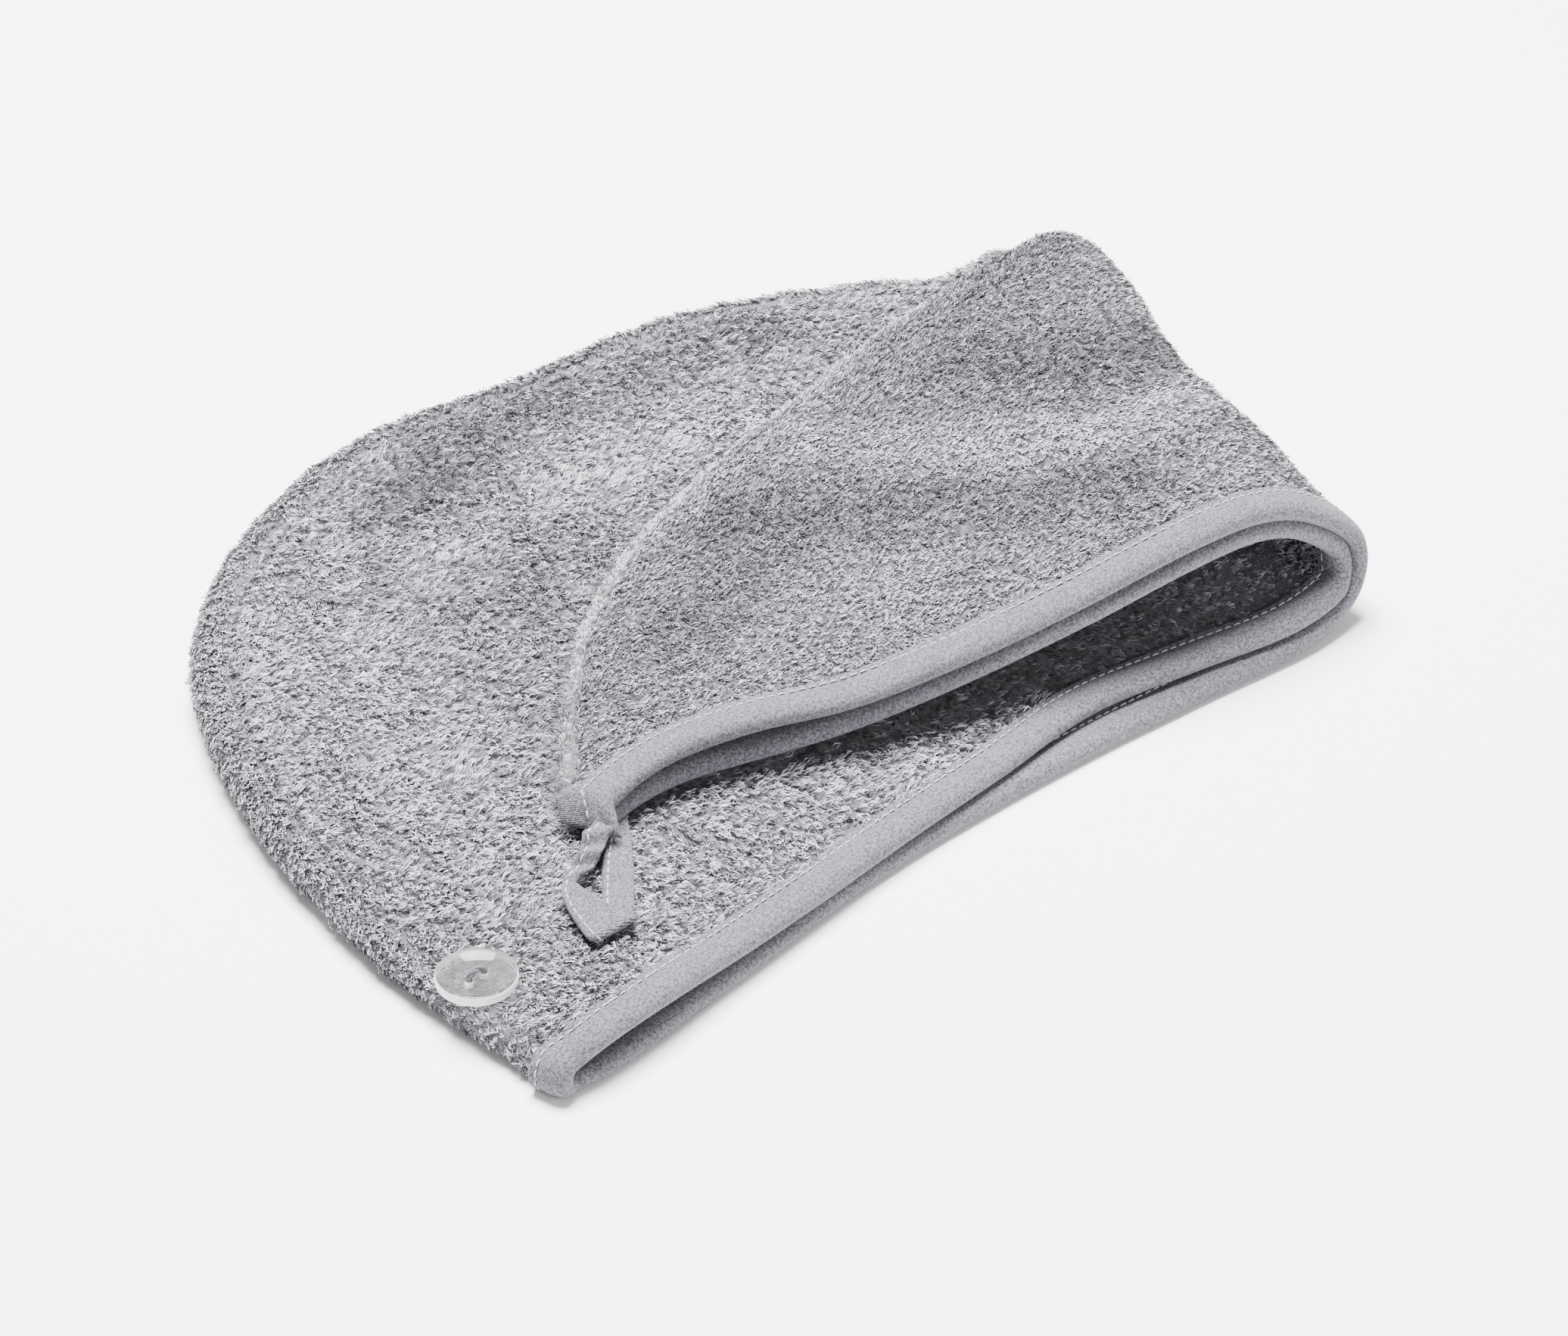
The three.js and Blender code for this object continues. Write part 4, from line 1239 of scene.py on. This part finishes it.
def stitch_line(points, outs, sizes):
    """Capsules of thread lying along a line of points, one for each stitch."""
    along = travelled(points)
    pitch = sizes.stitch + sizes.stitch_gap
    starts = np.arange(pitch, along[-1] - pitch, pitch)
    share, girth, rise = STITCH_SHAPE.T[:, None]
    radius = sizes.stitch_thread / 2
    angle = np.arange(STITCH_SIDES) / STITCH_SIDES * 2 * math.pi
    places = starts[:, None] + share * sizes.stitch

    def at(values):
        return np.stack([np.interp(places, along, values[:, k]) for k in range(3)], -1)

    centre, out = at(points), unit(at(outs))
    way = unit(np.gradient(centre, axis=1))
    aside = unit(np.cross(way, out))
    centre = centre + out * (rise[..., None] * sizes.stitch_thread)
    ring = centre[:, :, None] + (radius * girth)[..., None, None] * (
        aside[:, :, None] * np.cos(angle)[:, None] + out[:, :, None] * np.sin(angle)[:, None]
    )
    count, rings = ring.shape[:2]
    quads = grid_quads(rings, STITCH_SIDES, closed=True)
    step = np.arange(count)[:, None, None] * rings * STITCH_SIDES
    quads = (quads[None] + step).reshape(-1, 4)
    return ring.reshape(-1, 3), quads


def joined(parts):
    """Corners and faces of several parts as one."""
    points, quads, first = [], [], 0
    for p, q in parts:
        points.append(p)
        quads.append(q + first)
        first += len(p)
    return np.concatenate(points), np.concatenate(quads)


def build_stitches(context):
    """The row of stitches near the inner edge of the tape, on both of its faces."""
    sizes = context.scene.towel_sizes
    cloth = Cloth(sizes)
    middle, inward, up, closed = tape_frames(cloth)
    nose = middle - inward * cloth.nose_offset
    inner = sizes.binding_width - STITCH_INSET
    height = (cloth.binding_thickness / 2 - STITCH_SINK) * closing(closed)[:, None]
    parts = []
    for face in (-1, 1):
        line = nose + inward * inner + up * (face * height)
        parts.append(stitch_line(line, up * face, sizes))
    points, quads = joined(parts)
    piece = add_mesh("binding_stitches", points, quads)
    tone = context.scene.towel_colours.stitch
    finish_piece(piece, thread_material("spun_stitch", tone))


def hood_height(x, y, cloth):
    """Height of the hood's top face at a place in plan."""
    start = Vector((x, y, cloth.hood_stack + cloth.layer_rest / 2))
    place = hood_tree.ray_cast(start, Vector((0, 0, -1)))[0]
    return place.z if place else 0.0


# The loop's steps, its pleats' spacing along and across, its fine creases and how far
# its stitches lie in from its edge
LOOP_STEPS = 180
PLEAT_SPACING = (0.0085, 0.011)
CREASE_HEIGHT = 0.00008
CREASE_SPACING = (0.0011, 0.002)
LOOP_STITCH_INSET = 0.0018


def loop_edges(cloth):
    """Both edges of the loop's tape along its route, lifted off the hood under them."""
    s = cloth.s
    tip = cloth.edge(np.array([float(LAST_SECTION)]), -1)[0][0]
    tail = tip[2] - hood_height(tip[0], tip[1], cloth)
    t = np.linspace(0, len(LOOP_ROWS) - 1, LOOP_STEPS)
    kernel = np.array([1, 2, 3, 2, 1]) / 9
    edges = []
    for first in (0, 3):
        points = tip + OUTWARD * (column(LOOP_ROWS, first, t) * s.loop_length)[:, None]
        points = points + ASIDE * (column(LOOP_ROWS, first + 1, t) * s.loop_width)[:, None]
        under = np.array([hood_height(x, y, cloth) for x, y, _ in points])
        lift = column(LOOP_ROWS, first + 2, t) * tail
        height = under + s.cloth_gap + s.loop_thickness / 2 + lift
        points[:, 2] = np.convolve(np.pad(height, 2, mode="edge"), kernel, mode="valid")
        edges.append(points)
    return *edges, t


def loop_profile():
    """Section of the flat tape: share of its half width, inset and height in half
    thicknesses."""
    flat = np.linspace(-1, 1, 13)
    lower = [(k, 0.6, -1.0) for k in flat]
    upper = [(k, 0.6, 1.0) for k in flat[::-1]]
    right = [(1, 0.15, -0.6), (1, 0, 0), (1, 0.15, 0.6)]
    left = [(-1, 0.15, 0.6), (-1, 0, 0), (-1, 0.15, -0.6)]
    return np.array(lower + right + upper + left)


def build_loop(context):
    """The button loop of folded tape, crumpled where it leaves the tail's tip."""
    sizes = context.scene.towel_sizes
    cloth = Cloth(sizes)
    left, right, t = loop_edges(cloth)
    middle = (left + right) / 2
    half = np.linalg.norm(right - left, axis=1, keepdims=True) / 2
    across = unit(right - left)
    way = np.gradient(middle, axis=0)
    way = way - (way * across).sum(-1, keepdims=True) * across
    through = unit(np.cross(way, across))
    along = travelled(middle)
    y = sizes.loop_thickness / 2
    share, inset, rise = loop_profile().T
    x = share * (half - inset * y)
    crumple = np.exp(-(((t - CRUMPLED_ROW) / CRUMPLED_REACH) ** 2))[:, None]

    def pleats(at):
        by, over = PLEAT_SPACING
        wave = np.sin(2 * math.pi * (along[:, None] / by + at / over))
        by, over = CREASE_SPACING
        fine = np.sin(along[:, None] / by + at / over)
        return PLEAT_HEIGHT * crumple * wave + CREASE_HEIGHT * fine

    depth = rise * y + pleats(x)
    ring = middle[:, None] + across[:, None] * x[..., None]
    ring = ring + through[:, None] * depth[..., None]
    rows, columns = ring.shape[:2]
    quads = grid_quads(rows, columns, closed=True)
    across_at = travelled(np.stack([x[0], rise * y], -1))
    uv = np.stack(np.broadcast_arrays(along[:, None], across_at[None]), -1)
    piece = add_mesh("loop_tape", ring, quads, uv=uv.reshape(-1, 2))
    j = np.arange(columns)
    close_ends(piece, [j[None, ::-1], j[None] + (rows - 1) * columns])
    finish_piece(
        piece, tape_material(context.scene.towel_colours), ["button_loop"]
    )
    at = LOOP_STITCH_INSET - half
    line = middle + across * at + through * pleats(at)
    stitched = joined([
        stitch_line(line + through * y, through, sizes),
        stitch_line(line - through * y, -through, sizes),
    ])
    stitches = add_mesh("loop_stitches", *stitched)
    tone = context.scene.towel_colours.stitch
    finish_piece(stitches, thread_material("spun_stitch", tone))


# The button: the section it is on and its share of the way to the seam, its bevel as a
# share of its thickness, the round of its dish, their points, the sides of its rim and
# holes, and how level a face is that shows clear plastic; steeper faces of the rim and the
# holes get a paler, less clear copy that paints a bright glint of light on them
BUTTON_ALONG = 1.3
BUTTON_ACROSS = 0.68
BEVEL_SHARE = 0.3
BEVEL_POINTS = 6
DISH_ROUND = 0.0012
DISH_POINTS = 9
BUTTON_SIDES = 96
HOLE_SIDES = 40
LEVEL_FACE = 0.8

# The thread's strands: thickness and distance from the middle as shares of the bundle,
# length of their twist, sides, steps and the share of the arch that they reach
STRAND_SHARE = 0.27
STRAND_OFFSET = 0.23
STRAND_TWIST = 0.0011
STRAND_SIDES = 8
STRAND_STEPS = 120
ARCH_SHARE = 0.85


def button_place(cloth):
    """The middle of the button's underside."""
    s = cloth.s
    on_hood = cloth.outside(np.array([BUTTON_ALONG]), np.array([BUTTON_ACROSS]))
    at = on_hood[0] + cloth.origin
    tops = [hood_height(at[0] + k * s.button / 2, at[1], cloth) for k in (-1, 0, 1)]
    return np.array([at[0], at[1], max(tops) + s.shank])


def build_button(context):
    """The clear button: a turned disc with a dish and two holes."""
    sizes = context.scene.towel_sizes
    cloth = Cloth(sizes)
    place = button_place(cloth)
    rim, dish = sizes.button / 2, sizes.dish_diameter / 2
    tall = sizes.button_thickness
    low = tall - sizes.button_dish
    bevel = tall * BEVEL_SHARE
    outline = [(0, 0), (rim - bevel, 0)]
    for angle in np.linspace(0, math.pi / 2, BEVEL_POINTS):
        outline.append((rim - bevel + bevel * math.sin(angle), bevel - bevel * math.cos(angle)))
    for angle in np.linspace(0, math.pi / 2, BEVEL_POINTS):
        outline.append(
            (rim - bevel + bevel * math.cos(angle), tall - bevel + bevel * math.sin(angle))
        )
    for angle in np.linspace(0, math.pi, DISH_POINTS):
        outline.append(
            (
                dish + DISH_ROUND * math.cos(angle),
                tall - (tall - low) * smooth(angle / math.pi),
            )
        )
    outline += [(dish * 0.5, low), (0, low)]
    outline = np.array(outline)
    sides = BUTTON_SIDES
    angle = np.arange(sides) / sides * 2 * math.pi
    ring = np.stack([
        outline[:, :1] * np.cos(angle), outline[:, :1] * np.sin(angle),
        np.broadcast_to(outline[:, 1:], (len(outline), sides)),
    ], -1)
    inner = ring[1:-1]
    rows = len(inner)
    quads = grid_quads(rows, sides, closed=True)
    points = np.concatenate([inner.reshape(-1, 3), [[0, 0, 0], [0, 0, low]]])
    j = np.arange(sides)
    last = (rows - 1) * sides
    fans = np.concatenate([
        np.stack([j, (j + 1) % sides, np.full(sides, rows * sides)], -1),
        np.stack([last + (j + 1) % sides, last + j, np.full(sides, rows * sides + 1)], -1),
    ])
    disc = add_mesh("button_disc", points, quads, fans)
    face_out(disc)
    for x in (-sizes.hole_spacing / 2, sizes.hole_spacing / 2):
        cut_hole(disc, x, sizes.hole / 2, tall)
    disc.data.transform(Matrix.Translation(Vector(place)))
    shade_by_angle(disc, 40)
    colours = context.scene.towel_colours
    clear = clear_material("clear_plastic", colours, 0.97, 0.4)
    finish_piece(disc, clear, ["button"])
    # Painted glint: a paler, less clear copy of the plastic on the rim's side and the hole
    # walls.
    disc.data.materials.append(clear_material("painted_glint_edge", colours, 0.35, 0.9))
    for face in disc.data.polygons:
        steep = abs(face.normal.z) < LEVEL_FACE
        face.material_index = int(steep and face.center.z > low / 4)


def face_out(piece):
    made = bmesh.new()
    made.from_mesh(piece.data)
    bmesh.ops.recalc_face_normals(made, faces=made.faces)
    made.to_mesh(piece.data)
    made.free()


def cut_hole(disc, x, radius, tall):
    """Cuts a round hole through the button beside its middle."""
    bpy.ops.mesh.primitive_cylinder_add(
        vertices=HOLE_SIDES, radius=radius, depth=4 * tall, location=(x, 0, 0)
    )
    cutter = bpy.context.object
    change = disc.modifiers.new("hole", "BOOLEAN")
    change.operation = "DIFFERENCE"
    change.object = cutter
    change.solver = "EXACT"
    bpy.context.view_layer.objects.active = disc
    bpy.ops.object.modifier_apply(modifier="hole")
    bpy.data.objects.remove(cutter)


def shade_by_angle(piece, degrees):
    bpy.context.view_layer.objects.active = piece
    for other in bpy.context.selected_objects:
        other.select_set(False)
    piece.select_set(True)
    bpy.ops.object.shade_smooth_by_angle(angle=math.radians(degrees))


def build_thread(context):
    """Three strands twisted together, up one hole of the button and down the other."""
    sizes = context.scene.towel_sizes
    cloth = Cloth(sizes)
    place = button_place(cloth)
    half = sizes.hole_spacing / 2
    top = sizes.button_thickness - sizes.button_dish
    arch = top + ARCH_SHARE * sizes.thread_arch
    foot = [
        hood_height(place[0] + x, place[1], cloth) + sizes.cloth_gap + sizes.thread / 4
        - place[2] for x in (-half, half)
    ]
    knots = np.array([
        (-half, 0, foot[0]), (-half, 0, top), (-half / 2, 0, arch),
        (half / 2, 0, arch), (half, 0, top), (half, 0, foot[1]),
    ])
    t = np.linspace(0, len(knots) - 1, STRAND_STEPS)
    line = np.stack([column(knots, k, t) for k in range(3)], -1) + place
    way = unit(np.gradient(line, axis=0))
    side = np.tile([0.0, 1.0, 0.0], (len(line), 1))
    out = unit(np.cross(way, side))
    along = travelled(line)
    around = np.arange(STRAND_SIDES) / STRAND_SIDES * 2 * math.pi
    strand = sizes.thread * STRAND_SHARE
    faces = grid_quads(len(line), STRAND_SIDES, closed=True)
    parts = []
    for k in range(3):
        phase = along / STRAND_TWIST + k * 2 * math.pi / 3
        centre = line + (sizes.thread * STRAND_OFFSET) * (
            side * np.cos(phase)[:, None] + out * np.sin(phase)[:, None]
        )
        ring = centre[:, None] + strand * (
            side[:, None] * np.cos(around)[:, None] + out[:, None] * np.sin(around)[:, None]
        )
        parts.append((ring.reshape(-1, 3), faces))
    points, quads = joined(parts)
    piece = add_mesh("thread_strands", points, quads)
    tone = context.scene.towel_colours.button_thread
    finish_piece(piece, thread_material("spun_thread", tone), ["button_thread"])


# Stage

CAMERA_PLACE = (-0.87135, -0.90307, 0.86036)
CAMERA_TARGET = (-0.00251, -0.03423, 0.0)
CAMERA_LENS = 114.67
WHITE = (1.0, 1.0, 1.0)
FLOOR_SIZE = 12
WORLD_STRENGTH = 0.5

# Lights: place, width and power
KEY_LIGHT = ((0.15, 0.40, 1.9), 1.2, 295)
FILL_LIGHT = ((0.1, -1.4, 0.5), 1.0, 14)


def look_at(piece, target):
    way = Vector(target) - piece.location
    piece.rotation_euler = way.to_track_quat("-Z", "Y").to_euler()


def add_light(name, place, size, power):
    """A white round light that looks at the middle of the floor."""
    light = bpy.data.lights.new(name, "AREA")
    light.shape = "DISK"
    light.size = size
    light.energy = power
    light.color = WHITE
    made = bpy.data.objects.new(name, light)
    bpy.context.scene.collection.objects.link(made)
    made.location = place
    look_at(made, (0, 0, 0))
    return made


def build_stage(context):
    """Floor, soft lights and the camera at the photograph's angle."""
    colours = context.scene.towel_colours
    bpy.ops.mesh.primitive_plane_add(size=FLOOR_SIZE)
    floor = context.object
    floor.name = "floor"
    floor.data.materials.append(floor_material(colours))
    key = add_light("key", *KEY_LIGHT)
    fill = add_light("fill", *FILL_LIGHT)
    world = context.scene.world or bpy.data.worlds.new("world")
    context.scene.world = world
    world.use_nodes = True
    background = world.node_tree.nodes["Background"]
    fill_in(background, {"Color": (*WHITE, 1), "Strength": WORLD_STRENGTH})
    data = bpy.data.cameras.new("camera")
    data.sensor_width = 36
    data.lens = CAMERA_LENS
    camera = bpy.data.objects.new("camera", data)
    context.scene.collection.objects.link(camera)
    camera.location = CAMERA_PLACE
    look_at(camera, CAMERA_TARGET)
    context.scene.camera = camera


# Operators

class TOWEL_OT_ground(bpy.types.Operator):
    """Build the ground cloth of both terry panels"""

    bl_idname = "towel.ground"
    bl_label = "Ground Cloth"

    def execute(self, context):
        for side in (-1, 1):
            build_panel(context, side)
        return {"FINISHED"}


class TOWEL_OT_pile(bpy.types.Operator):
    """Build the loops of yarn on the faces of the terry"""

    bl_idname = "towel.pile"
    bl_label = "Pile"

    def execute(self, context):
        fields = {-1: [], 1: []}
        for name, field in PILE_FIELDS.items():
            fields[field[0]].append(build_pile(context, name))
        build_corner(context)
        return {"FINISHED"}


class TOWEL_OT_binding(bpy.types.Operator):
    """Build the folded tape along the mouth and its stitches"""

    bl_idname = "towel.binding"
    bl_label = "Binding"

    def execute(self, context):
        build_binding(context)
        build_stitches(context)
        return {"FINISHED"}


class TOWEL_OT_loop(bpy.types.Operator):
    """Build the button loop and its stitches"""

    bl_idname = "towel.loop"
    bl_label = "Button Loop"

    def execute(self, context):
        build_loop(context)
        return {"FINISHED"}


class TOWEL_OT_button(bpy.types.Operator):
    """Build the clear button and the thread that holds it"""

    bl_idname = "towel.button"
    bl_label = "Button"

    def execute(self, context):
        build_button(context)
        build_thread(context)
        return {"FINISHED"}


class TOWEL_OT_stage(bpy.types.Operator):
    """Build the floor, the lights and the camera"""

    bl_idname = "towel.stage"
    bl_label = "Stage"

    def execute(self, context):
        build_stage(context)
        return {"FINISHED"}


class TOWEL_PT_panel(bpy.types.Panel):
    bl_idname = "TOWEL_PT_panel"
    bl_label = "Hair Turban Towel"
    bl_space_type = "VIEW_3D"
    bl_region_type = "UI"
    bl_category = "Towel"

    def draw(self, context):
        layout = self.layout
        for group in (context.scene.towel_sizes, context.scene.towel_colours):
            for name in group.__annotations__:
                layout.prop(group, name)
        for operator in OPERATORS:
            layout.operator(operator.bl_idname)


OPERATORS = (
    TOWEL_OT_ground, TOWEL_OT_pile, TOWEL_OT_binding, TOWEL_OT_loop, TOWEL_OT_button,
    TOWEL_OT_stage,
)
CLASSES = (TowelSizes, TowelColours, *OPERATORS, TOWEL_PT_panel)


def register():
    for item in CLASSES:
        bpy.utils.register_class(item)
    bpy.types.Scene.towel_sizes = bpy.props.PointerProperty(type=TowelSizes)
    bpy.types.Scene.towel_colours = bpy.props.PointerProperty(type=TowelColours)


def unregister():
    del bpy.types.Scene.towel_colours
    del bpy.types.Scene.towel_sizes
    for item in reversed(CLASSES):
        bpy.utils.unregister_class(item)


def main():
    register()
    bpy.ops.towel.ground()
    bpy.ops.towel.pile()
    bpy.ops.towel.binding()
    bpy.ops.towel.loop()
    bpy.ops.towel.button()
    bpy.ops.towel.stage()


if __name__ == "__main__":
    main()
